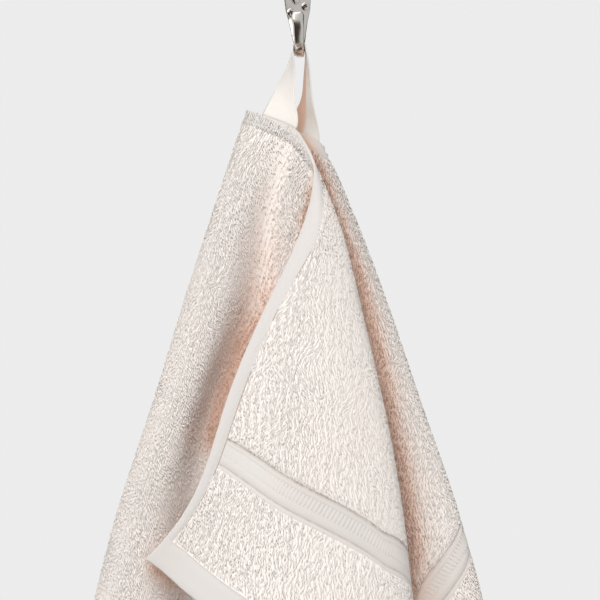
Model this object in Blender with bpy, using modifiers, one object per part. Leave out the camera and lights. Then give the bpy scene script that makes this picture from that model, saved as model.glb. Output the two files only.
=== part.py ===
"""Hand towel hanging by its tape loop from a wall hook.

The towel is one sheet of terry. Its upper long hem is gathered under the loop, and the
cloth falls from there in folds that fan out. FOLDS gives each fold's run down the towel;
the sheet is a smooth surface across those runs, with its length down each run kept.
Tables are in millimetres: x to the right, y away from the viewer (the wall is y = 0) and
z up from the middle of the hook's plate. Blender's own units here are metres.
"""

import math

import bmesh
import bpy
import numpy as np

MM = 0.001

# ---- the towel as it is cut, in millimetres
TOWEL_LENGTH = 711.0
TOWEL_WIDTH = 406.0
CLOTH_THICKNESS = 3.0

# ---- the loop: one length of woven tape, sewn to the hem at both ends
TAPE_WIDTH = 22.0
TAPE_THICKNESS = 1.0
SEAT_GAP = 0.3

# ---- the hook
PLATE_WIDTH = 19.0
PLATE_HEIGHT = 46.0
PLATE_THICKNESS = 3.0
# right side of the plate below its straight sides, x and z, lowest first
PLATE_TAPER = ((5.6, -23.0), (7.0, -22.3), (8.5, -16.0), (9.5, -6.0))
BOSS = (-1.2, -2.4, -1.0)
BOSS_SIZE = (4.8, 2.2, 11.0)
HOOK_LEAN = math.radians(1.8)
ARM_RADIUS = 3.4
CROOK_INSIDE = 11.5
CROOK_BOTTOM = -43.9
TONGUE_TOP = -21.3
SCREW_HEAD_RADIUS = 3.0
SCREW_HEAD_HEIGHT = 1.7
SCREW_SHANK_RADIUS = 1.7
SCREW_PLACES = ((-4.8, -17.4), (5.3, -13.4))

CROOK_AXIS = CROOK_INSIDE + ARM_RADIUS
SHANK_Y = -(PLATE_THICKNESS + 1.8)
CROOK_Y = SHANK_Y - CROOK_AXIS
CROOK_Z = CROOK_BOTTOM + CROOK_INSIDE

# ---- the gathered hem under the loop
# place along the hem from the loop's middle, then x, y, z
GATHERED_HEM = (
    (-72, 8, -6.5, -127),
    (-60, 16, -7.5, -117),
    (-50, 17.5, -12, -110.5),
    (-38, 8, -13.5, -104),
    (-25, -7, -13, -98),
    (-8, -24, -15, -92),
    (7, -33, -26, -87.5),
    (22, -17, -37, -94),
    (40, -0.5, -41, -102),
    (53, 6, -46, -112),
    (66, 10.5, -51, -124),
    (80, 11, -55, -136),
    (94, 9, -58, -149),
)

# ---- the folds, from the hem that shows at the front round to the hem at the back
# Each run starts on the gathered hem at hem_at and leaves it at cloth_angle, measured on
# the flat cloth from the front hem. ease is how much longer the soft terry is there than
# the stitched hem. across is the run's x at the heights in ACROSS_AT, and depth its y at
# the heights in DEPTH_AT.
ACROSS_AT = (-160, -220, -290, -360, -430, -580)
DEPTH_AT = (-160, -290, -430, -580)
FOLDS = (
    # name, hem_at, cloth_angle, ease, across, depth
    ("front_hem", 92, 0, 1.01, (6, -20, -48.5, -77, -147, -276), (-61, -88, -104, -118)),
    ("corner_in", 88, 10, 1.035, (12, -6, -24, -48, -96, -180), (-63, -90, -106, -120)),
    ("front_mid", 83, 21, 1.05, (16, 8, 2, -10, -28, -62), (-64, -94, -112, -128)),
    ("front_shoulder", 73, 36, 1.05, (22, 33, 45, 55, 61, 69), (-58, -76, -94, -110)),
    ("front_fold", 67, 43, 1.01, (25, 41, 57, 69, 76.5, 87.5), (-50, -60, -72, -82)),
    ("fold_back", 61.5, 47, 1, (19, 33, 48, 60, 68, 79), (-40, -47, -56, -64)),
    ("hidden_wave", 54, 55.5, 1, (7, 13, 21, 28, 32, 38), (-39, -62, -84, -102)),
    ("hidden_low", 46, 66, 1, (-8, -8, -12, -17, -22, -32), (-34, -42, -50, -60)),
    ("valley", 36, 75, 1, (-22, -31, -55, -66, -70, -88), (-29, -36, -48, -60)),
    ("ridge_in", 24, 79, 1, (-35, -46, -69, -84, -88, -108), (-42, -58, -72, -86)),
    ("ridge", 17, 82, 1, (-44, -57, -80, -100, -111, -142), (-46, -68, -88, -104)),
    ("left_fold", 7, 89, 1, (-56, -75, -96.5, -119, -136, -174), (-35, -46, -62, -76)),
    ("left_back", -2, 95, 1, (-52, -67, -87, -107, -123, -159), (-17, -19, -22, -26)),
    ("rear_mid", -18, 109, 1, (-20, -24, -30, -36, -40, -50), (-16, -18, -22, -26)),
    ("rear_bump", -32, 124, 1, (12, 16, 22, 28, 34, 46), (-25, -40, -50, -58)),
    ("third_panel", -42, 135, 1, (31, 46, 62, 76, 90, 118), (-19, -26, -34, -42)),
    ("right_fold", -51, 140, 1, (38.5, 61, 84.5, 108, 127, 167), (-14, -18, -24, -30)),
    ("right_back", -57, 144, 1, (33, 54, 76, 98, 116, 154), (-8, -8.5, -9, -9)),
    ("rear_flap", -64, 160, 1, (14, 16, 18, 20, 22, 26), (-6, -6, -6, -6)),
    ("rear_hem", -72, 180, 1, (-2, -22, -42, -58, -72, -100), (-6, -6, -6, -6)),
)
LONGEST_RUN = 540.0
RUN_STEP = 3.0
LOWEST = -660.0
SPACING_AT = 200.0
CLOTH_BETWEEN_FOLDS = 4
ROWS_DOWN = 18


def clear_scene():
    for thing in list(bpy.data.objects):
        bpy.data.objects.remove(thing, do_unlink=True)


def new_collection(name):
    group = bpy.data.collections.new(name)
    bpy.context.scene.collection.children.link(group)
    return group


def principled(name, colour, roughness, metallic):
    mat = bpy.data.materials.new(name)
    mat.use_nodes = True
    shader = mat.node_tree.nodes["Principled BSDF"]
    shader.inputs["Base Color"].default_value = (*colour, 1.0)
    shader.inputs["Roughness"].default_value = roughness
    shader.inputs["Metallic"].default_value = metallic
    mat.diffuse_color = (*colour, 1.0)
    return mat


def natural_spline(knots, values, at):
    """Natural cubic spline through values (one row a knot), read at each place in at."""
    knots = np.asarray(knots, float)
    values = np.asarray(values, float).reshape(len(knots), -1)
    at = np.asarray(at, float)
    gap = np.diff(knots)
    count = len(knots)
    system = np.eye(count)
    right = np.zeros_like(values)
    for i in range(1, count - 1):
        system[i, i - 1 : i + 2] = gap[i - 1], 2 * (gap[i - 1] + gap[i]), gap[i]
        right[i] = (values[i + 1] - values[i]) / gap[i] - (values[i] - values[i - 1]) / gap[i - 1]
    bend = np.linalg.solve(system, 6 * right)
    k = np.clip(np.searchsorted(knots, at) - 1, 0, count - 2)
    before = (at - knots[k])[:, None]
    after = (knots[k + 1] - at)[:, None]
    width = gap[k][:, None]
    curved = (bend[k] * after**3 + bend[k + 1] * before**3) / (6 * width)
    low = (values[k] / width - bend[k] * width / 6) * after
    high = (values[k + 1] / width - bend[k + 1] * width / 6) * before
    return curved + low + high


def hem_points(places):
    table = np.array(GATHERED_HEM, float)
    return natural_spline(table[:, 0], table[:, 1:], places)


def fold_run(hem_at, across, depth):
    """One fold's run, read every RUN_STEP millimetres of cloth from the hem down."""
    start = hem_points([hem_at])[0]
    height = np.linspace(start[2], LOWEST, 1200)
    x = natural_spline([-start[2], *(-z for z in ACROSS_AT)], [start[0], *across], -height)
    y = natural_spline([-start[2], *(-z for z in DEPTH_AT)], [start[1], *depth], -height)
    run = np.column_stack([x, y, height])
    down = np.concatenate([[0.0], np.cumsum(np.linalg.norm(np.diff(run, axis=0), axis=1))])
    places = np.arange(0.0, LONGEST_RUN + RUN_STEP, RUN_STEP)
    return np.column_stack([np.interp(places, down, run[:, i]) for i in range(3)])


class Cloth:
    """The hung sheet: where each point of the flat towel lies.

    u runs along the towel from the loop's middle, plus towards the front hem, and v down
    from the gathered hem.
    """

    def __init__(self):
        self.runs = np.array([fold_run(fold[1], fold[4], fold[5]) for fold in FOLDS])
        reference = self.runs[:, int(SPACING_AT / RUN_STEP)]
        spread = np.sqrt(np.linalg.norm(np.diff(reference, axis=0), axis=1))
        self.knots = np.concatenate([[0.0], np.cumsum(spread)])
        self.hem_at = np.array([fold[1] for fold in FOLDS], float)
        self.angle = np.radians([fold[2] for fold in FOLDS])
        self.ease = np.array([fold[3] for fold in FOLDS])

    def start_and_angle(self, t):
        return np.interp(t, self.knots, self.hem_at), np.interp(t, self.knots, self.angle)

    def run_at(self, t, down):
        """The points that lie down millimetres of flat cloth along the run at t."""
        down = np.array(down) * np.interp(t, self.knots, self.ease)
        runs = natural_spline(self.knots, self.runs.reshape(len(self.runs), -1), [t])
        runs = runs.reshape(-1, 3)
        places = np.arange(len(runs)) * RUN_STEP
        return np.column_stack([np.interp(down, places, runs[:, i]) for i in range(3)])

    def run_through(self, u, v):
        """The run that passes the flat point (u, v), found by halving."""
        low, high = 0.0, self.knots[-1]
        for _ in range(40):
            middle = (low + high) / 2
            start, angle = self.start_and_angle(middle)
            if math.cos(angle) * v < math.sin(angle) * (u - start):
                high = middle
            else:
                low = middle
        return (low + high) / 2

    def point(self, u, v):
        t = self.run_through(u, v)
        start, _ = self.start_and_angle(t)
        return self.run_at(t, [math.hypot(u - start, v)])[0]

    def run_length(self, t):
        """How far the run at t goes before it meets the towel's edge."""
        start, angle = self.start_and_angle(t)
        reach = []
        if abs(math.cos(angle)) > 1e-6:
            end = math.copysign(TOWEL_LENGTH / 2, math.cos(angle))
            reach.append((end - start) / math.cos(angle))
        if math.sin(angle) > 1e-6:
            reach.append(TOWEL_WIDTH / math.sin(angle))
        return min(reach)

    def columns(self):
        """Places across the folds for the mesh, with one exactly at each lower corner."""
        places = []
        for first, last in zip(self.knots[:-1], self.knots[1:]):
            places += list(np.linspace(first, last, CLOTH_BETWEEN_FOLDS, endpoint=False))
        places.append(self.knots[-1])
        for side in (1, -1):
            corner = self.run_through(side * TOWEL_LENGTH / 2, TOWEL_WIDTH)
            nearest = int(np.argmin(np.abs(np.array(places) - corner)))
            places[nearest] = corner
        return places


def sheet_object(name, rows, thickness, group, mat):
    """A closed sheet through a grid of points (rows of points, millimetres)."""
    count_down = len(rows[0])
    points = [tuple(p * MM) for row in rows for p in row]
    faces = []
    for i in range(len(rows) - 1):
        for j in range(count_down - 1):
            first = i * count_down + j
            faces.append((first, first + count_down, first + count_down + 1, first + 1))
    mesh = bpy.data.meshes.new(name)
    mesh.from_pydata(points, [], faces)
    mesh.update()
    obj = bpy.data.objects.new(name, mesh)
    group.objects.link(obj)
    mesh.materials.append(mat)
    solid = obj.modifiers.new("thickness", "SOLIDIFY")
    solid.thickness = thickness * MM
    solid.offset = 0.0
    solid.use_even_offset = True
    solid.use_quality_normals = True
    mesh.shade_smooth()
    return obj


def build_towel(cloth, group, mat):
    rows = []
    for t in cloth.columns():
        down = np.linspace(0.0, cloth.run_length(t), ROWS_DOWN + 1)
        rows.append(cloth.run_at(t, down))
    return sheet_object("towel", rows, CLOTH_THICKNESS, group, mat)


# ---- the loop's free stretches: the tape's front and back edges, x, y, z, from the hook
# down to the hem. The hook end and the sewn ends are worked out from the arm and the hem.
LEFT_LEG = (
    # front edge, back edge
    ((-1.6, -31, -58), (-9, -12, -60)),
    ((-1.5, -36, -80), (-15.5, -20, -74)),
)
RIGHT_LEG = (
    ((8.5, -28, -60), (5, -9, -60)),
    ((11.5, -21, -85), (2, -9, -80)),
)
# the tape's two edges where each end is sewn, as places along the hem
FRONT_SEWN_AT = (39.0, 39.0 - TAPE_WIDTH)
REAR_SEWN_AT = (-46.0, -46.0 + TAPE_WIDTH)
TAPE_ACROSS = 8
TAPE_STEP = 4.0
GATHER_ANGLE = math.radians(42)
WRAP_STEPS = (-90, -54, -18, 18, 54, 90)


def tape_over_arm(wrap):
    """The tape's points across the hook's arm, curled along the crook, at wrap degrees
    round the arm: -90 is the left side and 90 the right."""
    reach = ARM_RADIUS + SEAT_GAP + TAPE_THICKNESS / 2
    turn = math.radians(wrap)
    radius = CROOK_AXIS - reach * math.cos(turn)
    points = []
    for i in range(TAPE_ACROSS + 1):
        along = GATHER_ANGLE * (1 - 2 * i / TAPE_ACROSS)
        x = reach * math.sin(turn)
        y = CROOK_Y - radius * math.sin(along)
        z = CROOK_Z - radius * math.cos(along)
        points.append(lean((x, y, z)))
    return points


def lean(point):
    """A point of the upright hook, where it lies on the hook as it hangs on the wall."""
    x, y, z = point
    c, s = math.cos(HOOK_LEAN), math.sin(HOOK_LEAN)
    return np.array([c * x - s * z, y, s * x + c * z])


def tape_between(front, back):
    front, back = np.array(front, float), np.array(back, float)
    return [front + (back - front) * i / TAPE_ACROSS for i in range(TAPE_ACROSS + 1)]


def tape_at_hem(cloth, sewn_at, above):
    """The tape's points across the end that comes out of the hem, above it."""
    points = []
    for i in range(TAPE_ACROSS + 1):
        u = sewn_at[0] + (sewn_at[1] - sewn_at[0]) * i / TAPE_ACROSS
        edge = cloth.point(u, 0.0)
        up = edge - cloth.point(u, 4.0)
        points.append(edge + above * up / np.linalg.norm(up))
    return points


def build_loop(cloth, group, mat):
    stations = [tape_at_hem(cloth, FRONT_SEWN_AT, above) for above in (SEAT_GAP, 4.0)]
    stations += [tape_between(*edges) for edges in reversed(LEFT_LEG)]
    stations += [tape_over_arm(wrap) for wrap in WRAP_STEPS]
    stations += [tape_between(*edges) for edges in RIGHT_LEG]
    stations += [tape_at_hem(cloth, REAR_SEWN_AT, above) for above in (4.0, SEAT_GAP)]
    stations = np.array(stations)
    middle = stations[:, TAPE_ACROSS // 2]
    gaps = np.linalg.norm(np.diff(middle, axis=0), axis=1)
    knots = np.concatenate([[0.0], np.cumsum(gaps)])
    places = [0.0]
    for first, last in zip(knots[:-1], knots[1:]):
        steps = max(2, round((last - first) / TAPE_STEP))
        places += list(np.linspace(first, last, steps + 1)[1:])
    rows = natural_spline(knots, stations.reshape(len(stations), -1), places)
    rows = rows.reshape(len(places), TAPE_ACROSS + 1, 3)
    print(f"tape length {knots[-1]:.0f} mm")
    return sheet_object("hanging_loop", rows, TAPE_THICKNESS, group, mat)


def loft(name, sections, group):
    """A closed solid through rings of points, with a flat cap at each end."""
    bm = bmesh.new()
    rings = [[bm.verts.new(tuple(np.array(p) * MM)) for p in ring] for ring in sections]
    size = len(rings[0])
    for first, second in zip(rings[:-1], rings[1:]):
        for k in range(size):
            nxt = (k + 1) % size
            bm.faces.new((first[k], first[nxt], second[nxt], second[k]))
    bm.faces.new(rings[0])
    bm.faces.new(rings[-1])
    bmesh.ops.recalc_face_normals(bm, faces=bm.faces)
    mesh = bpy.data.meshes.new(name)
    bm.to_mesh(mesh)
    bm.free()
    obj = bpy.data.objects.new(name, mesh)
    group.objects.link(obj)
    return obj


# ---- the prong: stations down the shank, as height, y, half width and half thickness
SHANK = (
    (-18.5, -1.6, 6.6, 1.2),
    (-23.0, -2.2, 6.7, 1.9),
    (-28.0, -3.4, 5.9, 2.7),
)
SHANK_EASE = 0.5
TONGUE_EASE = 0.1
CROOK_STEPS = 14
TONGUE = (
    (-27.0, 3.8, 3.0),
    (-23.6, 4.1, 2.5),
    (-21.9, 3.2, 1.7),
    (TONGUE_TOP, 1.2, 0.7),
)
RING_SIDES = 16


def ring(centre, across, out):
    """An oval ring of points round centre; across and out are its half-axis vectors."""
    centre, across, out = np.array(centre), np.array(across), np.array(out)
    turns = [2 * math.pi * k / RING_SIDES for k in range(RING_SIDES)]
    return [centre + across * math.cos(a) + out * math.sin(a) for a in turns]


def build_prong(group):
    sections = []
    for z, y, half_width, half_thick in SHANK:
        sections.append(ring((0, y, z), (half_width, 0, 0), (0, half_thick, 0)))
    for step in range(CROOK_STEPS + 1):
        turn = math.pi * step / CROOK_STEPS
        out = np.array([0, math.cos(turn), -math.sin(turn)])
        centre = np.array([0, CROOK_Y, CROOK_Z]) + out * CROOK_AXIS
        ease = 1 + (SHANK_EASE if turn < math.pi / 2 else TONGUE_EASE) * math.cos(turn) ** 8
        sections.append(ring(centre, (ARM_RADIUS * ease, 0, 0), out * ARM_RADIUS * 0.98))
    for z, half_width, half_thick in TONGUE:
        y = CROOK_Y - CROOK_AXIS
        sections.append(ring((0, y, z), (half_width, 0, 0), (0, -half_thick, 0)))
    return loft("prong", sections, group)


def build_plate(group):
    """The wall plate: a round-ended bar with a softened front edge."""
    curve = bpy.data.curves.new("plate_outline", "CURVE")
    curve.dimensions = "2D"
    curve.fill_mode = "BOTH"
    curve.extrude = (PLATE_THICKNESS / 2 - 0.6) * MM
    curve.bevel_depth = 0.6 * MM
    curve.bevel_resolution = 1
    curve.offset = -0.6 * MM
    radius = PLATE_WIDTH / 2
    top = PLATE_HEIGHT / 2 - radius
    turns = [math.pi * k / 12 for k in range(13)]
    outline = [(radius * math.cos(a), top + radius * math.sin(a)) for a in turns]
    outline += [(-x, z) for x, z in reversed(PLATE_TAPER)]
    outline += list(PLATE_TAPER)
    path = curve.splines.new("POLY")
    path.points.add(len(outline) - 1)
    for spot, (x, z) in zip(path.points, outline):
        spot.co = (x * MM, z * MM, 0, 1)
    path.use_cyclic_u = True
    flat = bpy.data.objects.new("plate_outline", curve)
    group.objects.link(flat)
    depsgraph = bpy.context.evaluated_depsgraph_get()
    mesh = bpy.data.meshes.new_from_object(flat.evaluated_get(depsgraph))
    bpy.data.objects.remove(flat, do_unlink=True)
    bm = bmesh.new()
    bm.from_mesh(mesh)
    bmesh.ops.remove_doubles(bm, verts=bm.verts, dist=1e-6)
    for vert in bm.verts:
        x, up, out = vert.co
        vert.co = (x, -out - PLATE_THICKNESS / 2 * MM, up)
    bmesh.ops.recalc_face_normals(bm, faces=bm.faces)
    bm.to_mesh(mesh)
    bm.free()
    obj = bpy.data.objects.new("wall_hook", mesh)
    group.objects.link(obj)
    return obj


def build_boss(group):
    """The low oval swelling cast on the plate's middle."""
    bm = bmesh.new()
    bmesh.ops.create_uvsphere(bm, u_segments=20, v_segments=12, radius=MM)
    for vert in bm.verts:
        vert.co = [vert.co[k] * BOSS_SIZE[k] + BOSS[k] * MM for k in range(3)]
    mesh = bpy.data.meshes.new("boss")
    bm.to_mesh(mesh)
    bm.free()
    obj = bpy.data.objects.new("boss", mesh)
    group.objects.link(obj)
    return obj


def drill(name, place, group):
    """A cutter for a screw: a straight hole with a countersink at the plate's front."""
    x, z = place
    front = -PLATE_THICKNESS
    profile = (
        (1.0, SCREW_SHANK_RADIUS),
        (front + 1.2, SCREW_SHANK_RADIUS),
        (front, SCREW_HEAD_RADIUS - 0.3),
        (front - 4.0, SCREW_HEAD_RADIUS - 0.3),
    )
    rings = [ring((x, y, z), (r, 0, 0), (0, 0, r)) for y, r in profile]
    return loft(name, rings, group)


def build_screw(name, place, group, mat):
    """An oval-head screw with a cross recess; its shank ends at the wall's face."""
    x, z = place
    front = -PLATE_THICKNESS
    profile = (
        (-0.05, SCREW_SHANK_RADIUS - SEAT_GAP),
        (front + 0.9, SCREW_SHANK_RADIUS - SEAT_GAP),
        (front - 0.2, SCREW_HEAD_RADIUS - 0.7),
        (front - 0.3, SCREW_HEAD_RADIUS),
        (front - 0.7, SCREW_HEAD_RADIUS),
        (front - 1.3, SCREW_HEAD_RADIUS * 0.76),
        (front - SCREW_HEAD_HEIGHT, SCREW_HEAD_RADIUS * 0.34),
    )
    rings = [ring((x, y, z), (r, 0, 0), (0, 0, r)) for y, r in profile]
    screw = loft(name, rings, group)
    screw.data.materials.append(mat)
    return screw


def cross_cutter(name, place, group):
    x, z = place
    bm = bmesh.new()
    for wide, tall in ((3.2, 0.9), (0.9, 3.2)):
        made = bmesh.ops.create_cube(bm, size=1.0)["verts"]
        for vert in made:
            vert.co.x = (vert.co.x * wide + x) * MM
            vert.co.z = (vert.co.z * tall + z) * MM
            vert.co.y = (vert.co.y * 2.0 - PLATE_THICKNESS - SCREW_HEAD_HEIGHT) * MM
    mesh = bpy.data.meshes.new(name)
    bm.to_mesh(mesh)
    bm.free()
    obj = bpy.data.objects.new(name, mesh)
    group.objects.link(obj)
    return obj


def combine(obj, other, operation, self_crossing=False):
    cut = obj.modifiers.new(operation.lower(), "BOOLEAN")
    cut.operation = operation
    cut.object = other
    cut.solver = "EXACT"
    cut.use_self = self_crossing


def build_hook(group, cutters, nickel):
    hanger = bpy.data.objects.new("hook_lean", None)
    group.objects.link(hanger)
    hanger.rotation_euler = (0, -HOOK_LEAN, 0)
    hook = build_plate(group)
    hook.data.materials.clear()
    hook.data.materials.append(nickel)
    prong = build_prong(cutters)
    boss = build_boss(cutters)
    combine(hook, prong, "UNION")
    combine(hook, boss, "UNION")
    screws = []
    for side, place in zip(("left", "right"), SCREW_PLACES):
        hole = drill(f"{side}_hole", place, cutters)
        combine(hook, hole, "DIFFERENCE")
        screw = build_screw(f"screw_{side}", place, group, nickel)
        cross = cross_cutter(f"{side}_cross", place, cutters)
        combine(screw, cross, "DIFFERENCE", self_crossing=True)
        screws.append(screw)
        hole.parent = hanger
        cross.parent = hanger
    for piece in [hook, prong, boss, *screws]:
        piece.parent = hanger
    for piece in [hook, *screws]:
        piece.data.shade_smooth()
        piece.data.set_sharp_from_angle(angle=math.radians(40))
    for piece in cutters.objects:
        piece.hide_render = True
        piece.display_type = "WIRE"


def main():
    clear_scene()
    group = new_collection("hand_towel_on_hook")
    cutters = new_collection("cutters")
    terry = principled("terry_cotton", (0.86, 0.79, 0.73), 0.95, 0.0)
    tape = principled("woven_tape", (0.93, 0.87, 0.80), 0.85, 0.0)
    nickel = principled("polished_nickel", (0.72, 0.68, 0.63), 0.2, 1.0)
    cloth = Cloth()
    build_towel(cloth, group, terry)
    build_loop(cloth, group, tape)
    build_hook(group, cutters, nickel)


main()
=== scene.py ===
# %% [markdown]
# # A hand towel on its hook
#
# A terry hand towel hangs by a tape loop from a small cast hook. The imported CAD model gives
# the frame: where the hook sits, how the cloth falls and how far it reaches. This lesson
# dresses that frame. It makes the cloth again with its hems, woven bands, pile and
# stitching, weaves the tape, polishes the hook, and sets up the light and the camera.
#
# Lengths in tables are millimetres, as in the CAD source: x to the right, y towards the
# wall, z up from the middle of the hook's plate. Blender itself works in metres.

# %% Load the frame
import math

import bmesh
import bpy
import numpy as np
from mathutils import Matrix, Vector
from mathutils.bvhtree import BVHTree


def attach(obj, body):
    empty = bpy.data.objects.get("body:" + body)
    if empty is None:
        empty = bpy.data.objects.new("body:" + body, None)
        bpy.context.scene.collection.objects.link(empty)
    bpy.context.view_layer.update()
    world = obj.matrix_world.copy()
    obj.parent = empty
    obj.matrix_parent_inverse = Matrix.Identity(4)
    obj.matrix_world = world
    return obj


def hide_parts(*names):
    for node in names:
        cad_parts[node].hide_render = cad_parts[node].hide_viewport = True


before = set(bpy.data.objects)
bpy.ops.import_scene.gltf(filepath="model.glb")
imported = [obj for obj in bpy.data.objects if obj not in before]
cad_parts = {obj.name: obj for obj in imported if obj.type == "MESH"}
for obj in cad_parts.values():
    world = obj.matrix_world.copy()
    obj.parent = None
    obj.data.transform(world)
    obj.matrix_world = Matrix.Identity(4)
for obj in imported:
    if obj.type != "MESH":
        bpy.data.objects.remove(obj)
scene = bpy.context.scene
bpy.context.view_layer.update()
MM = 0.001

# %% [markdown]
# ## The run of the folds
#
# A towel on a loop isn't a random drape. Its hem is gathered at one spot, and each fold runs
# down from its own place on that hem. The same short tables that shaped the solid shape the
# cloth here, so the dressed towel lies exactly on its solid. A cloth simulation would wander
# away from the photo; the tables hold every outline where it belongs.

# %% The gathered hem and the fold table
TOWEL_LENGTH = 711.0
TOWEL_WIDTH = 406.0
# place along the hem from the loop's middle, then x, y, z
GATHERED_HEM = (
    (-72, 8, -6.5, -127),
    (-60, 16, -7.5, -117),
    (-50, 17.5, -12, -110.5),
    (-38, 8, -13.5, -104),
    (-25, -7, -13, -98),
    (-8, -24, -15, -92),
    (7, -33, -26, -87.5),
    (22, -17, -37, -94),
    (40, -0.5, -41, -102),
    (53, 6, -46, -112),
    (66, 10.5, -51, -124),
    (80, 11, -55, -136),
    (94, 9, -58, -149),
)
ACROSS_AT = (-160, -220, -290, -360, -430, -580)
DEPTH_AT = (-160, -290, -430, -580)
FOLDS = (
    # name, hem_at, cloth_angle, ease, across, depth
    ("front_hem", 92, 0, 1.01, (6, -20, -48.5, -77, -147, -276), (-61, -88, -104, -118)),
    ("corner_in", 88, 10, 1.035, (12, -6, -24, -48, -96, -180), (-63, -90, -106, -120)),
    ("front_mid", 83, 21, 1.05, (16, 8, 2, -10, -28, -62), (-64, -94, -112, -128)),
    ("front_shoulder", 73, 36, 1.05, (22, 33, 45, 55, 61, 69), (-58, -76, -94, -110)),
    ("front_fold", 67, 43, 1.01, (25, 41, 57, 69, 76.5, 87.5), (-50, -60, -72, -82)),
    ("fold_back", 61.5, 47, 1, (19, 33, 48, 60, 68, 79), (-40, -47, -56, -64)),
    ("hidden_wave", 54, 55.5, 1, (7, 13, 21, 28, 32, 38), (-39, -62, -84, -102)),
    ("hidden_low", 46, 66, 1, (-8, -8, -12, -17, -22, -32), (-34, -42, -50, -60)),
    ("valley", 36, 75, 1, (-22, -31, -55, -66, -70, -88), (-29, -36, -48, -60)),
    ("ridge_in", 24, 79, 1, (-35, -46, -69, -84, -88, -108), (-42, -58, -72, -86)),
    ("ridge", 17, 82, 1, (-44, -57, -80, -100, -111, -142), (-46, -68, -88, -104)),
    ("left_fold", 7, 89, 1, (-56, -75, -96.5, -119, -136, -174), (-35, -46, -62, -76)),
    ("left_back", -2, 95, 1, (-52, -67, -87, -107, -123, -159), (-17, -19, -22, -26)),
    ("rear_mid", -18, 109, 1, (-20, -24, -30, -36, -40, -50), (-16, -18, -22, -26)),
    ("rear_bump", -32, 124, 1, (12, 16, 22, 28, 34, 46), (-25, -40, -50, -58)),
    ("third_panel", -42, 135, 1, (31, 46, 62, 76, 90, 118), (-19, -26, -34, -42)),
    ("right_fold", -51, 140, 1, (38.5, 61, 84.5, 108, 127, 167), (-14, -18, -24, -30)),
    ("right_back", -57, 144, 1, (33, 54, 76, 98, 116, 154), (-8, -8.5, -9, -9)),
    ("rear_flap", -64, 160, 1, (14, 16, 18, 20, 22, 26), (-6, -6, -6, -6)),
    ("rear_hem", -72, 180, 1, (-2, -22, -42, -58, -72, -100), (-6, -6, -6, -6)),
)
LONGEST_RUN = 540.0
RUN_STEP = 3.0
LOWEST = -660.0
FINE_STEPS = 1200
SPACING_AT = 200.0
print(len(FOLDS), "fold runs over a towel of", TOWEL_LENGTH, "by", TOWEL_WIDTH, "mm")


# %% A smooth curve through the tables
def natural_spline(knots, values, at):
    """Natural cubic spline through values (one row a knot), read at each place in at."""
    knots = np.asarray(knots, float)
    values = np.asarray(values, float).reshape(len(knots), -1)
    at = np.asarray(at, float)
    gap = np.diff(knots)
    count = len(knots)
    system = np.eye(count)
    right = np.zeros_like(values)
    for i in range(1, count - 1):
        system[i, i - 1 : i + 2] = gap[i - 1], 2 * (gap[i - 1] + gap[i]), gap[i]
        right[i] = (values[i + 1] - values[i]) / gap[i] - (values[i] - values[i - 1]) / gap[i - 1]
    bend = np.linalg.solve(system, 6 * right)
    k = np.clip(np.searchsorted(knots, at) - 1, 0, count - 2)
    before = (at - knots[k])[:, None]
    after = (knots[k + 1] - at)[:, None]
    width = gap[k][:, None]
    curved = (bend[k] * after**3 + bend[k + 1] * before**3) / (6 * width)
    low = (values[k] / width - bend[k] * width / 6) * after
    high = (values[k + 1] / width - bend[k + 1] * width / 6) * before
    return curved + low + high


def running_total(steps):
    return np.concatenate([[0.0], np.cumsum(steps)])


def unit(vectors):
    return vectors / np.linalg.norm(vectors, axis=-1, keepdims=True)


def hump(value, width):
    """1 where value is 0, and next to nothing two widths away."""
    return np.exp(-((value / width) ** 2))


def fold_run(hem_at, across, depth):
    """One fold's run, read every RUN_STEP millimetres of cloth from the hem down."""
    hem = np.array(GATHERED_HEM, float)
    start = natural_spline(hem[:, 0], hem[:, 1:], [hem_at])[0]
    height = np.linspace(start[2], LOWEST, FINE_STEPS)
    x = natural_spline([-start[2], *(-z for z in ACROSS_AT)], [start[0], *across], -height)
    y = natural_spline([-start[2], *(-z for z in DEPTH_AT)], [start[1], *depth], -height)
    run = np.column_stack([x, y, height])
    down = running_total(np.linalg.norm(np.diff(run, axis=0), axis=1))
    places = np.arange(0.0, LONGEST_RUN + RUN_STEP, RUN_STEP)
    return np.column_stack([np.interp(places, down, run[:, i]) for i in range(3)])


# %% [markdown]
# ## From the flat towel to the hung one
#
# Everything woven or sewn has its place on the flat towel: so far from the end, so far from
# the hem. `HungCloth.point` takes such flat places, u along the towel from the loop's middle
# and v down from the gathered hem, and gives the hung ones. `frame_at` gives the cloth's
# directions there, along it and out of it, which is what thickness, pile and stitches build on.


# %% The hung cloth
def cubic_weights(share):
    """Weights of the four neighbours of a place between the middle two, Catmull-Rom."""
    s = share[..., None]
    return np.concatenate(
        [
            -0.5 * s + s**2 - 0.5 * s**3,
            1 - 2.5 * s**2 + 1.5 * s**3,
            0.5 * s + 2 * s**2 - 1.5 * s**3,
            -0.5 * s**2 + 0.5 * s**3,
        ],
        axis=-1,
    )


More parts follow.
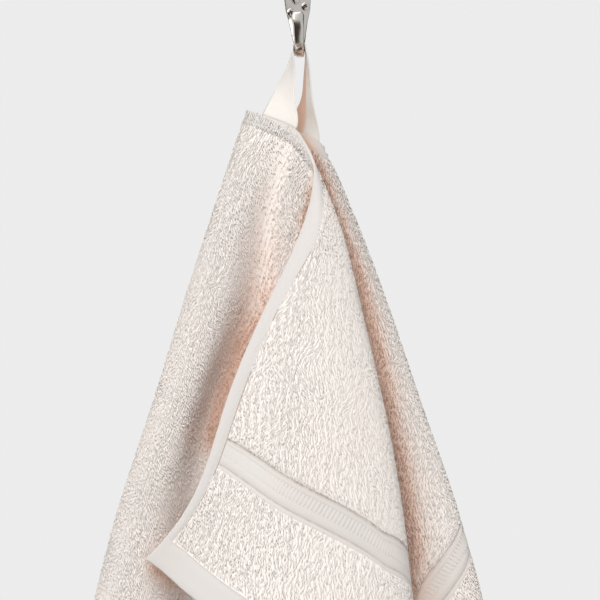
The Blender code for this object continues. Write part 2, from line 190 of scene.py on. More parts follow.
class HungCloth:
    FINE_RUNS = 700
    HALVINGS = 36

    def __init__(self):
        runs = np.array([fold_run(fold[1], fold[4], fold[5]) for fold in FOLDS])
        reference = runs[:, int(SPACING_AT / RUN_STEP)]
        spread = np.sqrt(np.linalg.norm(np.diff(reference, axis=0), axis=1))
        self.knots = running_total(spread)
        fine = np.linspace(0.0, self.knots[-1], self.FINE_RUNS)
        grid = natural_spline(self.knots, runs.reshape(len(runs), -1), fine)
        self.grid = grid.reshape(self.FINE_RUNS, -1, 3)
        self.hem_at = np.array([fold[1] for fold in FOLDS], float)
        self.angle = np.radians([fold[2] for fold in FOLDS])
        self.ease = np.array([fold[3] for fold in FOLDS], float)

    def run_through(self, u, v):
        """The run that passes each flat place, found by halving."""
        low = np.zeros_like(u)
        high = np.full_like(u, self.knots[-1])
        for _ in range(self.HALVINGS):
            middle = (low + high) / 2
            start = np.interp(middle, self.knots, self.hem_at)
            angle = np.interp(middle, self.knots, self.angle)
            past = np.cos(angle) * v < np.sin(angle) * (u - start)
            high = np.where(past, middle, high)
            low = np.where(past, low, middle)
        return (low + high) / 2

    def point(self, u, v):
        """The hung place, in millimetres, of each flat place."""
        u, v = np.broadcast_arrays(np.asarray(u, float), np.asarray(v, float))
        u = np.clip(u, -TOWEL_LENGTH / 2, TOWEL_LENGTH / 2)
        v = np.clip(v, 0.0, TOWEL_WIDTH)
        t = self.run_through(u, v)
        down = np.hypot(u - np.interp(t, self.knots, self.hem_at), v)
        down = down * np.interp(t, self.knots, self.ease)
        across = t / self.knots[-1] * (self.FINE_RUNS - 1)
        along = down / RUN_STEP
        i = np.clip(np.floor(across).astype(int), 0, self.FINE_RUNS - 2)
        j = np.clip(np.floor(along).astype(int), 0, self.grid.shape[1] - 2)
        weigh_i = cubic_weights(across - i)
        weigh_j = cubic_weights(along - j)
        total = np.zeros(u.shape + (3,))
        for a in range(4):
            row = np.clip(i + a - 1, 0, self.FINE_RUNS - 1)
            for b in range(4):
                step = np.clip(j + b - 1, 0, self.grid.shape[1] - 1)
                weight = weigh_i[..., a] * weigh_j[..., b]
                total += self.grid[row, step] * weight[..., None]
        return total

    def frame_at(self, u, v, reach=0.8):
        """Unit directions along u, along v and out of the cloth at each flat place."""
        u, v = np.broadcast_arrays(np.asarray(u, float), np.asarray(v, float))
        along = self.point(u + reach, v) - self.point(u - reach, v)
        down = self.point(u, v + reach) - self.point(u, v - reach)
        return [unit(way) for way in (along, down, np.cross(along, down))]


cloth = HungCloth()
corner = cloth.point(TOWEL_LENGTH / 2, 0.0)
print("the free front corner hangs at", np.round(corner, 1), "mm")

# %% [markdown]
# ## How thick the towel is, and where
#
# A woven towel is thick where it has pile and thin where it is woven plain. The long sides
# are turned under and stitched 10 mm in, the ends have a flat strip 19 mm deep, and a woven
# band crosses the towel 74 mm from each end. `half_thickness` says how far the ground cloth
# stands off its middle surface; the pile comes on top of that.

# %% The towel's parts, measured from its edges
SIDE_HEM = 10.0
END_HEM = 19.0
HEM_HALF = 1.2
GROUND_HALF = 1.35
EDGE_ROUND = 1.2
STITCH_IN = 1.3
STITCH_DIP = 0.45
DIP_WIDTH = 0.55
# where the hem's own thickness ends: this far before its depth, over this width
HEM_FALL = (0.3, 0.8)
# the band's relief: place from the towel's end, half thickness of the cloth there
BAND = (
    (73.4, 1.35),
    (73.9, 1.30),
    (75.6, 1.45),
    (76.2, 0.95),
    (76.7, 0.95),
    (77.3, 1.40),
    (81.8, 1.35),
    (82.3, 1.05),
    (89.6, 1.05),
    (90.1, 1.30),
    (92.4, 1.30),
    (92.8, 0.55),
    (93.7, 0.55),
    (94.0, 1.45),
)
# what shows of the long hem where it rolls under at the loop, and where it tucks in
ROLLED_HEM = 2.4
TUCKED_HEM = 0.5
# along the hem: where each change starts, and over what width
ROLL_STARTS = (-22.0, 10.0)
TUCK_ENDS = (37.0, 8.0)
ROLL_ENDS = (56.0, 45.0)
BAND_NEAR = BAND[0][0]
BAND_FAR = BAND[-1][0]


def step_up(value, start, width):
    """0 before start, 1 after start + width, eased between."""
    share = np.clip((value - start) / width, 0.0, 1.0)
    return share * share * (3 - 2 * share)


def hem_profile(inwards, depth):
    """Half thickness of a turned hem at each distance in from the towel's edge."""
    rounding = np.clip(inwards / EDGE_ROUND, 0.0, 1.0)
    edge = np.sqrt(1 - (1 - rounding) ** 2)
    stitched = STITCH_DIP * hump(inwards - depth + STITCH_IN, DIP_WIDTH)
    fall = (HEM_HALF - GROUND_HALF) * step_up(inwards, depth - HEM_FALL[0], HEM_FALL[1])
    return HEM_HALF * edge - stitched - fall


def from_end(u):
    return TOWEL_LENGTH / 2 - np.abs(u)


def shown_hem(u, v):
    """How much of the side hem shows: it rolls under where the loop gathers it."""
    rolled = step_up(u, *ROLL_STARTS) * (1 - step_up(u, *ROLL_ENDS)) * (v < TOWEL_WIDTH / 2)
    least = TUCKED_HEM + (ROLLED_HEM - TUCKED_HEM) * step_up(u, *TUCK_ENDS)
    return SIDE_HEM - (SIDE_HEM - least) * rolled


def from_side(v):
    return np.minimum(v, TOWEL_WIDTH - v)


def half_thickness(u, v):
    end, side = from_end(u), from_side(v)
    half = np.minimum(hem_profile(end, END_HEM), hem_profile(side, SIDE_HEM))
    no_stitch = np.minimum(hem_profile(end, TOWEL_LENGTH), hem_profile(side, TOWEL_LENGTH))
    half = np.where((end < END_HEM) & (side < SIDE_HEM), no_stitch, half)
    in_band = (end > BAND_NEAR) & (end < BAND_FAR) & (side > SIDE_HEM)
    return np.where(in_band, np.interp(end, *zip(*BAND)), half)


for name, u, v in (("side hem", 0, 5), ("end hem", 350, 200), ("terry ground", 0, 200), ("band", 272, 200)):
    thick = 2 * half_thickness(np.array([float(u)]), np.array([float(v)]))[0]
    print(f"{name}: {thick:.1f} mm thick")

# %% [markdown]
# ## A mesh from rows of points
#
# Many pieces here are cloth-like: a grid of places, a face on each side and a closed rim.
# `double_sheet` makes them all. Its two layers share the vertices of the rim, so the result
# is closed without a join to hide. Each vertex also carries its flat place as the UV map,
# in metres, so a weave drawn on UV keeps its true scale on every fold.


# %% Meshes and sheets
def add_object(name, data):
    obj = bpy.data.objects.new(name, data)
    scene.collection.objects.link(obj)
    return obj


def made_real(obj):
    """The mesh that an object's modifiers or bevels make."""
    return bpy.data.meshes.new_from_object(obj.evaluated_get(bpy.context.evaluated_depsgraph_get()))


def new_piece(name, points, faces, materials, face_material=None):
    """A mesh object at the origin from points in millimetres."""
    mesh = bpy.data.meshes.new(name)
    mesh.from_pydata([tuple(p) for p in np.asarray(points) * MM], [], faces)
    for mat in materials:
        mesh.materials.append(mat)
    if face_material is not None:
        mesh.polygons.foreach_set("material_index", np.asarray(face_material, np.int32))
    mesh.update()
    mesh.shade_smooth()
    return add_object(name, mesh)


def put_uv(obj, places):
    """A UV map from one flat place, in millimetres, for each vertex."""
    mesh = obj.data
    corner_vertex = np.zeros(len(mesh.loops), np.int32)
    mesh.loops.foreach_get("vertex_index", corner_vertex)
    layer = mesh.uv_layers.new(name="flat_place")
    layer.data.foreach_set("uv", (np.asarray(places) * MM)[corner_vertex].ravel())


def double_sheet(name, middle, out, half, places, materials, pick=None):
    """A closed sheet round a grid of middle points: half is its half thickness."""
    rows, columns = middle.shape[:2]
    show = middle + out * half[..., None]
    turned = middle - out * half[..., None]
    number = np.arange(rows * columns).reshape(rows, columns)
    inside = np.zeros((rows, columns), bool)
    inside[1:-1, 1:-1] = True
    back = number.copy()
    back[inside] = rows * columns + np.arange(inside.sum())
    points = np.concatenate([np.where(inside[..., None], show, middle).reshape(-1, 3), turned[inside]])
    flat = np.concatenate([places.reshape(-1, 2), places[inside]])
    faces = []
    for layer, turn in ((number, 1), (back, -1)):
        corners = np.stack([layer[:-1, :-1], layer[1:, :-1], layer[1:, 1:], layer[:-1, 1:]], axis=-1)
        faces += corners[..., ::turn].reshape(-1, 4).tolist()
    chosen = None if pick is None else np.tile(pick.ravel(), 2)
    obj = new_piece(name, points, faces, materials, chosen)
    put_uv(obj, flat)
    return obj


# %% [markdown]
# ## Shader maths as expressions
#
# Procedural cloth is arithmetic on textures. Wiring each Math node by hand hides that, so a
# small class wraps a socket and lets Python's own operators add the nodes. `Nodes.add` makes
# any other node from its type, its settings and its inputs, in every kind of node tree.


# %% Sockets that add up
def operator(operation):
    return lambda self, *others: self.maths(operation, *others)


class Value:
    """A shader socket that adds Math nodes when it is used in an expression."""

    def __init__(self, tree, socket):
        self.tree = tree
        self.socket = socket

    def maths(self, operation, *others):
        node = self.tree.nodes.new("ShaderNodeMath")
        node.operation = operation
        for slot, thing in zip(node.inputs, (self, *others)):
            feed(self.tree, slot, thing)
        return Value(self.tree, node.outputs[0])

    __add__ = __radd__ = operator("ADD")
    __mul__ = __rmul__ = operator("MULTIPLY")
    __sub__ = operator("SUBTRACT")
    __truediv__ = operator("DIVIDE")
    __pow__ = operator("POWER")
    sine = operator("SINE")
    size = operator("ABSOLUTE")
    at_most = operator("MINIMUM")
    at_least = operator("MAXIMUM")
    over = operator("GREATER_THAN")

    def __rsub__(self, other):
        return (self * -1.0) + other


def feed(tree, slot, thing):
    """Links a Value or a socket to a slot, or sets the slot to a plain value."""
    if isinstance(thing, Value):
        tree.links.new(thing.socket, slot)
    elif isinstance(thing, bpy.types.NodeSocket):
        tree.links.new(thing, slot)
    else:
        slot.default_value = thing


class Nodes:
    """A node tree that a few calls fill."""

    def __init__(self, tree):
        self.tree = tree

    def add(self, kind, settings=None, inputs=None):
        node = self.tree.nodes.new(kind)
        for name, value in (settings or {}).items():
            setattr(node, name, value)
        for name, value in (inputs or {}).items():
            feed(self.tree, node.inputs[name], value)
        return node

    def node(self, kind, settings=None, inputs=None, output=0):
        return Value(self.tree, self.add(kind, settings, inputs).outputs[output])

    def parts(self, vector):
        """The x, y and z of a vector."""
        split = self.add("ShaderNodeSeparateXYZ", None, {0: vector})
        return [Value(self.tree, socket) for socket in split.outputs]

    def mix(self, share, low, high):
        """A colour between low and high."""
        low, high = ((*c, 1.0) if isinstance(c, tuple) else c for c in (low, high))
        return self.node("ShaderNodeMix", {"data_type": "RGBA"}, {0: share, 6: low, 7: high}, 2)


class Material(Nodes):
    """A Principled material that is built up by a few calls."""

    def __init__(self, name, preview, **constants):
        self.made = bpy.data.materials.new(name)
        self.made.use_nodes = True
        self.made.diffuse_color = (*preview, 1.0)
        super().__init__(self.made.node_tree)
        self.shader = self.tree.nodes["Principled BSDF"]
        self.finish(**constants)

    def flat_place(self):
        """The flat place across and along the cloth, in metres."""
        return self.parts(self.node("ShaderNodeUVMap", {"uv_map": "flat_place"}))[:2]

    def noise(self, scale, detail=2.0, roughness=0.5):
        inputs = {"Scale": scale, "Detail": detail, "Roughness": roughness}
        inputs["Vector"] = self.node("ShaderNodeTexCoord", output="Object")
        return self.node("ShaderNodeTexNoise", {"noise_dimensions": "3D"}, inputs)

    def attribute(self, name, output="Fac"):
        return self.node("ShaderNodeAttribute", {"attribute_name": name}, output=output)

    def vector(self, operation, inputs):
        return self.node("ShaderNodeVectorMath", {"operation": operation}, inputs)

    def soft_normal(self, name, share):
        """The surface's normal, turned part of the way to the direction kept in an attribute."""
        own = self.node("ShaderNodeNewGeometry", output="Normal")
        kept = self.vector("SCALE", {0: self.attribute(name, "Vector"), "Scale": share})
        own = self.vector("SCALE", {0: own, "Scale": 1 - share})
        return self.vector("NORMALIZE", {0: self.vector("ADD", {0: kept, 1: own})})

    def bump(self, height, distance, strength=1.0, below=None):
        inputs = {"Height": height, "Distance": distance, "Strength": strength}
        if below is not None:
            inputs["Normal"] = below
        return self.node("ShaderNodeBump", None, inputs)

    def finish(self, **links):
        for socket, value in links.items():
            feed(self.tree, self.shader.inputs[socket.replace("_", " ")], value)
        return self.made


# %% [markdown]
# ## Cotton
#
# The towel is one undyed ivory cotton yarn in three dresses. As **pile** it stands in loops
# that catch light and hide shadow between them. As **plain weave**, in the hems, the yarns
# cross over and under at under half a millimetre. In the **band** fine yarns lie side by
# side. The colour is the same and changes only a little from place to place, as washing and
# handling leave it. The deeper a loop sits, the warmer it looks, because light has bounced
# from yarn to yarn before it comes out. That warm shade is painted into the colour, deeper
# where the cloth is closed in, and so are dark specks of shade between the loops.

# %% Cotton finishes
COTTON_LIGHT = (0.965, 0.91, 0.86)
# warm and deep colours of painted shade; the warm one also tints the random patches
COTTON_WARM_TONE_AND_SHADE = (0.95, 0.68, 0.54)
COTTON_PAINTED_DEEP_SHADE = (0.64, 0.40, 0.31)
HEM_LIGHT = (0.71, 0.69, 0.67)
BAND_LIGHT = (0.71, 0.68, 0.65)
# the dark of the band's thin line, and of painted shade in creases and under the pile's edge
DARK_LINE_AND_SHADE = (0.42, 0.34, 0.28)
WEAVE_PITCH = 0.55 * MM
BAND_YARN = 0.45 * MM
TERRY_GRAIN_AND_SPECK_SCALE = 850.0
TERRY_RELIEF = 0.7 * MM
# how much painted shade in specks on and between the loops shows in full light, and more in full shelter
SPECK_SHADE_IN_LIGHT = 0.04
SPECK_SHADE_IN_SHELTER = 1.8
# shelter turns to painted shade along a curve, and past half of it the deep painted shade comes in
SHELTER_SEEN = 3.9
SHELTER_CURVE = 2.9
DEEP_SHARE = 0.7
LOOP_SOFTNESS = 0.95
# noise scales of the colour's slow patches, on terry and on flat weaves, and their share
TERRY_PATCHES = 14.0
WOVEN_PATCHES = 18.0
PATCH_SHARE = 0.15
# painted specks of shade between the loops: contrast, and what is taken off
SPECKS = (2.4, 1.1)
GROUND_BUMP = 0.25
PILE_BUMP = 0.12
WEAVE_RELIEF = 0.12 * MM
BAND_RELIEF = 0.1 * MM
# a painted shade line where the hem's edge meets the pile: place from the edge and half width in
# millimetres
HEM_EDGE_SHADE = (SIDE_HEM - 0.3, 1.2)
HEM_EDGE_SHADE_BREAKS = 0.47
# the band's two dark lines, from the towel's end: the far one is a painted shadow under the pile's edge,
# the near one a thin dark line in the band's groove
BAND_FAR_SHADOW = (93.9, 2.2)
BAND_NEAR_LINE = (76.5, 0.9)
FULL_TURN = 2 * math.pi


def woven_height(mat, pitch_u, pitch_v):
    """Plain weave: each yarn rises where it crosses over the other."""
    u, v = mat.flat_place()
    yarn_u = (u * (FULL_TURN / pitch_u)).sine()
    yarn_v = (v * (FULL_TURN / pitch_v)).sine()
    return (yarn_u * yarn_v + yarn_u.size() * 0.6 + yarn_v.size() * 0.6) * 0.4


def cotton_colour(mat, light, warm, deep, spread, grain_and_shade_specks=None):
    """Ivory with painted shade that warms and deepens with shelter, a little random tone from place to
    place, and painted specks of shade when they are given.
    """
    patches = mat.noise(spread, 3.0)
    painted_shade = mat.attribute("painted_shade")
    closed = ((painted_shade * SHELTER_SEEN) ** SHELTER_CURVE).at_most(1.0)
    tint = mat.mix((patches * PATCH_SHARE + closed).at_most(1.0), light, warm)
    tint = mat.mix((closed - 0.5).at_least(0.0) * DEEP_SHARE, tint, deep)
    if grain_and_shade_specks is None:
        return tint
    return mat.mix((grain_and_shade_specks * (closed * SPECK_SHADE_IN_SHELTER + SPECK_SHADE_IN_LIGHT)).at_most(1.0), tint, deep)


def make_terry(name, ground):
    mat = Material(name, COTTON_LIGHT, Roughness=1.0, Sheen_Weight=0.5, Sheen_Roughness=0.5)
    grain_and_shade_specks = mat.noise(TERRY_GRAIN_AND_SPECK_SCALE, 3.0, 0.6)
    island = mat.node("ShaderNodeNewGeometry", output="Random Per Island")
    # painted shade in specks between the loops, and on each loop at random, stronger with shelter
    specks = (mat.noise(TERRY_GRAIN_AND_SPECK_SCALE, 1.0) * SPECKS[0] - SPECKS[1]).at_least(0.0) + island * island * 0.5
    colour = cotton_colour(mat, COTTON_LIGHT, COTTON_WARM_TONE_AND_SHADE, COTTON_PAINTED_DEEP_SHADE, TERRY_PATCHES, specks)
    if ground:
        return mat.finish(Base_Color=colour, Normal=mat.bump(grain_and_shade_specks, TERRY_RELIEF, GROUND_BUMP))
    softened = mat.soft_normal("facing", LOOP_SOFTNESS)
    return mat.finish(Base_Color=colour, Normal=mat.bump(grain_and_shade_specks, TERRY_RELIEF, PILE_BUMP, softened))


def line_at(place, at, width):
    """1 on a line at a place, in millimetres, and 0 beyond its half width."""
    return (1 - (place - at * MM).size() / (width * MM)).at_least(0.0)


def make_plain_weave():
    mat = Material("plain_weave", HEM_LIGHT, Roughness=0.9, Sheen_Weight=0.15)
    colour = cotton_colour(mat, HEM_LIGHT, COTTON_WARM_TONE_AND_SHADE, COTTON_PAINTED_DEEP_SHADE, WOVEN_PATCHES)
    v = mat.flat_place()[1]
    side = v.at_most(TOWEL_WIDTH * MM - v)
    # painted shade under the pile's edge along the long hems, broken by noise
    hem_edge_shade = line_at(side, *HEM_EDGE_SHADE) * mat.noise(30.0, 1.0).over(HEM_EDGE_SHADE_BREAKS)
    colour = mat.mix(hem_edge_shade, colour, DARK_LINE_AND_SHADE)
    weave = woven_height(mat, WEAVE_PITCH, WEAVE_PITCH)
    return mat.finish(Base_Color=colour, Normal=mat.bump(weave, WEAVE_RELIEF, 0.8))


def make_band_weave():
    mat = Material("band_weave", BAND_LIGHT, Roughness=0.85, Sheen_Weight=0.45, Sheen_Roughness=0.35)
    colour = cotton_colour(mat, BAND_LIGHT, COTTON_WARM_TONE_AND_SHADE, COTTON_PAINTED_DEEP_SHADE, WOVEN_PATCHES)
    end = TOWEL_LENGTH / 2 * MM - mat.flat_place()[0].size()
    broken = mat.noise(260.0, 2.0)
    shown = (broken * 1.6 - 0.3).at_least(0.0)
    # painted shadow under the pile's edge at the band's far side
    colour = mat.mix(line_at(end, *BAND_FAR_SHADOW) * shown, colour, DARK_LINE_AND_SHADE)
    colour = mat.mix(line_at(end, *BAND_NEAR_LINE) * broken, colour, DARK_LINE_AND_SHADE)
    weave = woven_height(mat, BAND_YARN, BAND_YARN * 1.6)
    return mat.finish(Base_Color=colour, Normal=mat.bump(weave, BAND_RELIEF, 0.7))


terry_ground = make_terry("terry_ground", True)
terry_pile = make_terry("terry_pile", False)
plain_weave = make_plain_weave()
band_weave = make_band_weave()
print("cotton:", terry_ground.name, terry_pile.name, plain_weave.name, band_weave.name)

# %% [markdown]
# ## The ground cloth
#
# The towel's body is a single closed sheet with the hems' real relief: a round edge, a flat
# turned strip, the dip where the stitching pulls it down, and the band's ridges. The grid is
# coarse where pile will cover it and fine across each hem and band, so the relief is crisp
# without wasting faces.

# %% The ground cloth
GROUND_STEP = 4.5
EDGE_LINES = (0.0, 0.12, 0.45, 1.2)
# lines on both sides of the stitching's dip, before and after it
DIP_LINES = (0.9, 0.7)


def hem_lines(depth):
    dip = depth - STITCH_IN
    flat = np.linspace(EDGE_LINES[-1], dip - DIP_LINES[0], max(3, round(depth / 4)))[1:]
    return [*EDGE_LINES, *flat, dip, dip + DIP_LINES[1], depth, depth + HEM_FALL[1]]


def grid_lines(length, hem, extra=()):
    """Places across the cloth: close together over each hem and band, even between."""
    near = [*hem_lines(hem), *extra]
    marks = sorted([*near, *(length - place for place in near)])
    lines = [marks[0]]
    for first, last in zip(marks[:-1], marks[1:]):
        count = max(1, math.ceil((last - first) / GROUND_STEP))
        lines += list(np.linspace(first, last, count + 1)[1:])
    return np.array(lines)


def ground_places():
    u = grid_lines(TOWEL_LENGTH, END_HEM, [place for place, _ in BAND]) - TOWEL_LENGTH / 2
    v = grid_lines(TOWEL_WIDTH, SIDE_HEM)
    return np.meshgrid(u, v, indexing="ij")


def build_ground():
    u, v = ground_places()
    middle = cloth.point(u, v)
    out = cloth.frame_at(u, v)[2]
    end = from_end((u[:-1, :-1] + u[1:, 1:]) / 2)
    side = from_side((v[:-1, :-1] + v[1:, 1:]) / 2)
    pick = np.zeros(end.shape, np.int32)
    pick[(end > BAND_NEAR) & (end < BAND_FAR)] = 2
    pick[(end < END_HEM) | (side < SIDE_HEM)] = 1
    places = np.stack([u, v], axis=-1)
    mats = [terry_ground, plain_weave, band_weave]
    return double_sheet("towel_cloth", middle, out, half_thickness(u, v), places, mats, pick)


towel = build_ground()
print("ground cloth:", len(towel.data.polygons), "faces")

# %% [markdown]
# ## Shelter
#
# Cream cotton warms the light that it passes on: deep between folds, light has gone from
# cloth to cloth several times and turned from ivory to a warm brown. A renderer follows
# only a few such bounces, so the warmth would be lost. `Shelter` measures how closed in each
# place of the cloth is, by asking how many straight ways out of it meet the cloth again, and
# the cotton's colour deepens with it: this is painted shade. Ways towards the front light
# count most, so the shadows that folds cast are painted too, and beside the front hem painted
# shade is added, and taken off behind its free corner.


# %% How closed in each place is
class Shelter:
    RAYS = 32
    REACH = 80.0
    LIFT = 3.2
    SPACING = 7.0
    LIT_FROM = np.array([-0.34, -0.92, 0.2])
    LEAST_WEIGHT = 0.15
    # painted shade by the front hem: the hem from this place along it, and how far to its left and behind
    # it the painted shade begins
    HEM_FROM = 90.0
    HEM_POINTS = 60
    HEM_GAP = 2.0
    HEM_DEPTH = 12.0
    HEM_SHADE = 0.14
    HEM_REACH = 7.5
    # height where each change starts going up, and over what height
    SHADE_ENDS = (-262.0, 70.0)
    CORNER_ENDS = (-334.0, 26.0)
    CORNER_LIGHT = 0.6
    CORNER_REACH = 35.0

    def __init__(self, obj):
        self.tree = BVHTree.FromPolygons(
            [v.co / MM for v in obj.data.vertices], [p.vertices[:] for p in obj.data.polygons]
        )
        self.u = np.linspace(-TOWEL_LENGTH / 2, TOWEL_LENGTH / 2, round(TOWEL_LENGTH / self.SPACING))
        self.v = np.linspace(0.0, TOWEL_WIDTH, round(TOWEL_WIDTH / self.SPACING))
        u, v = np.meshgrid(self.u, self.v, indexing="ij")
        middle = cloth.point(u, v)
        along, down, out = cloth.frame_at(u, v)
        self.outer = self.beside_hem(middle, self.closed_in(middle, along, down, out))
        self.inner = self.beside_hem(middle, self.closed_in(middle, along, down, -out))

    def closed_in(self, places, along, down, out):
        """The share of ways out of each place that meet the cloth.

        Near hits count most, and so do ways towards the light.
        """
        turn = math.pi * (3 - math.sqrt(5))
        total = np.zeros(places.shape[:-1])
        weights = np.zeros_like(total)
        starts = places + out * self.LIFT
        for i in range(self.RAYS):
            share = (i + 0.5) / self.RAYS
            side = math.sqrt(share)
            ways = out * math.sqrt(1 - share)
            ways = ways + along * side * math.cos(i * turn) + down * side * math.sin(i * turn)
            weight = self.LEAST_WEIGHT + np.clip(ways @ self.LIT_FROM, 0.0, 1.0) ** 2
            weights += weight
            for where in np.ndindex(total.shape):
                far = self.tree.ray_cast(Vector(starts[where]), Vector(ways[where]), self.REACH)[3]
                if far is not None:
                    total[where] += (1 - far / self.REACH) * weight[where]
        return total / weights

    def beside_hem(self, places, closed):
        """Painted shade added right behind the front hem, and painted light behind its free corner, where
        shade is taken off.
        """
        along_hem = np.linspace(self.HEM_FROM, TOWEL_LENGTH / 2, self.HEM_POINTS)
        hem = cloth.point(along_hem, 0.0)
        hem_x, hem_y, hem_z = hem[hem[:, 2].argsort()].T
        x, y, z = np.moveaxis(places, -1, 0)
        left = np.interp(z, hem_z, hem_x) - self.HEM_GAP - x
        behind = (y > np.interp(z, hem_z, hem_y) + self.HEM_DEPTH) & (z > hem_z[0]) & (z < hem_z[-1])
        high = step_up(z, *self.CORNER_ENDS)
        shade = self.HEM_SHADE * hump(left, self.HEM_REACH) * high
        shade = shade * (1 - step_up(z, *self.SHADE_ENDS))
        lit = 1 - self.CORNER_LIGHT * hump(left, self.CORNER_REACH) * (1 - high)
        return np.where(behind, closed * lit + shade, closed)

    def at(self, u, v, side):
        """The shelter of flat places on the outer (1) or inner (-1) face."""
        grid = self.outer if side > 0 else self.inner
        across = np.clip(np.interp(u, self.u, np.arange(len(self.u))), 0, len(self.u) - 1.001)
        along = np.clip(np.interp(v, self.v, np.arange(len(self.v))), 0, len(self.v) - 1.001)
        i, j = across.astype(int), along.astype(int)
        a, b = across - i, along - j
        near = grid[i, j] * (1 - b) + grid[i, j + 1] * b
        far = grid[i + 1, j] * (1 - b) + grid[i + 1, j + 1] * b
        return near * (1 - a) + far * a


def put_number(obj, name, values):
    layer = obj.data.attributes.new(name, "FLOAT", "POINT")
    layer.data.foreach_set("value", np.asarray(values, np.float32).ravel())


def shelter_cloth(obj, u, v):
    """Painted shade for a double_sheet: its first layer is the outer face, the rest the inner."""
    shown = painted_shade.at(u, v, 1)
    turned = painted_shade.at(u, v, -1)[1:-1, 1:-1]
    put_number(obj, "painted_shade", np.concatenate([shown.ravel(), turned.ravel()]))


painted_shade = Shelter(towel)
shelter_cloth(towel, *ground_places())
print("shelter: up to", round(float(painted_shade.inner.max()), 2), "inside the folds")

# %% Attach the ground cloth
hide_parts("towel")
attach(towel, "root")

# %% [markdown]
# ## Copies along the cloth
#
# Loops of pile, ribs of the band and stitches of the hems are all the same job: one small
# shape, set many times on the cloth and turned with it. A Geometry Nodes tree does it. The
# points carry which way is out and which way the piece lies; the tree turns a small ball or
# wedge to match, sizes it, and makes the copies real so that every exporter sees them.


# %% One tree for loops, ribs and stitches
COPY_SIZES = {"Length": "Float", "Width": "Float", "Height": "Float", "Sides": "Int", "Rings": "Int"}
COPY_INPUTS = {**COPY_SIZES, "Spread": "Float", "Seed": "Int", "Material": "Material"}
WEDGE_FOOT = 0.58


def make_copies_tree(name, wedge):
    made = Nodes(bpy.data.node_groups.new(name, "GeometryNodeTree"))
    ask = made.tree.interface.new_socket
    ask("Geometry", in_out="INPUT", socket_type="NodeSocketGeometry")
    ask("Geometry", in_out="OUTPUT", socket_type="NodeSocketGeometry")
    for label, kind in COPY_INPUTS.items():
        ask(label, in_out="INPUT", socket_type="NodeSocket" + kind)
    given = made.add("NodeGroupInput").outputs
    ways = {
        label: made.node("GeometryNodeInputNamedAttribute", {"data_type": "FLOAT_VECTOR"}, {"Name": label})
        for label in ("lay", "out")
    }
    if wedge:
        sizes = {"Vertices": given["Sides"], "Radius Top": 0.0, "Radius Bottom": WEDGE_FOOT, "Depth": 1.0}
        small = made.node("GeometryNodeMeshCone", {"fill_type": "NGON"}, sizes)
    else:
        sizes = {"Segments": given["Sides"], "Rings": given["Rings"], "Radius": 0.5}
        small = made.node("GeometryNodeMeshUVSphere", None, sizes)
    sides = {"X": given["Height"], "Y": given["Width"], "Z": given["Length"]}
    size = made.node("ShaderNodeCombineXYZ", None, sides)
    shape = made.node("GeometryNodeTransform", None, {"Geometry": small, "Scale": size})
    turn = made.node(
        "FunctionNodeAxesToRotation",
        {"primary_axis": "Z", "secondary_axis": "X"},
        {"Primary Axis": ways["lay"], "Secondary Axis": ways["out"]},
    )
    spread = Value(made.tree, given["Spread"])
    limits = {2: 1.0 - spread, 3: spread + 1.0, "Seed": given["Seed"]}
    vary = made.node("FunctionNodeRandomValue", {"data_type": "FLOAT"}, limits, 1)
    copied = {"Points": given["Geometry"], "Instance": shape, "Rotation": turn, "Scale": vary}
    copies = made.node("GeometryNodeInstanceOnPoints", None, copied)
    real = made.node("GeometryNodeRealizeInstances", None, {"Geometry": copies})
    soft = made.node("GeometryNodeSetShadeSmooth", None, {0: real})
    covered = {"Geometry": soft, "Material": given["Material"]}
    made.add("NodeGroupOutput", None, {0: made.node("GeometryNodeSetMaterial", None, covered)})
    return made.tree


balls_tree = make_copies_tree("balls_on_cloth", False)
wedges_tree = make_copies_tree("wedges_on_cloth", True)


def set_copies(name, tree, points, out, lay, painted_shade_values, mat, **sizes):
    """One mesh of small shapes at points (millimetres), turned by out and lay."""
    start = bpy.data.meshes.new(name + "_points")
    start.vertices.add(len(points))
    start.vertices.foreach_set("co", (points * MM).ravel())
    facing = unit(out + Shelter.LIT_FROM * FACE_LIGHT)
    for label, vectors in (("out", out), ("lay", lay), ("facing", facing)):
        layer = start.attributes.new(label, "FLOAT_VECTOR", "POINT")
        layer.data.foreach_set("vector", vectors.ravel())
    holder = add_object(name + "_points", start)
    # each copy carries the painted shade of its place on the cloth
    put_number(holder, "painted_shade", painted_shade_values)
    maker = holder.modifiers.new("copies", "NODES")
    maker.node_group = tree
    sizes["Material"] = mat
    for item in tree.interface.items_tree:
        if item.in_out == "INPUT" and item.name in sizes:
            maker[item.identifier] = sizes[item.name]
    mesh = made_real(holder)
    mesh.name = name
    for label in ("lay", "out"):
        mesh.attributes.remove(mesh.attributes[label])
    bpy.data.objects.remove(holder, do_unlink=True)
    obj = add_object(name, mesh)
    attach(obj, "root")
    return obj


# %% [markdown]
# ## The pile
#
# Terry pile is warp yarn thrown up in loops on both faces. Gravity and hands comb the loops,
# so they lie mostly downwards but swirl, and neighbours lean together in short ripples. The
# loops here stand in staggered rows, nudged off their places, and a slow noise turns the way
# they lie. Each is a four-faced wedge: two hundred thousand of anything have to be lean.

# %% The pile
LOOP_ALONG = 1.95
LOOP_ACROSS = 1.3
LOOP_LENGTH = 2.7 * MM
LOOP_WIDTH = 1.35 * MM
LOOP_HEIGHT = 0.45 * MM
LOOP_TILT = 0.05
FACE_LIGHT = 0.8
# loops keep this far off hems and bands, and are nudged by these shares of their spacing
HEM_CLEAR = 0.6
BAND_CLEAR = (0.2, 0.3)
ROLL_CLEAR = 0.2
FIRST_ROW = 1.5
NUDGE = (0.3, 0.35)
# turn of the way they lie: strength and pitch, of the broad swirl and of the ripples
SWIRL = (0.38, 42.0)
RIPPLE = (0.2, 13.0)
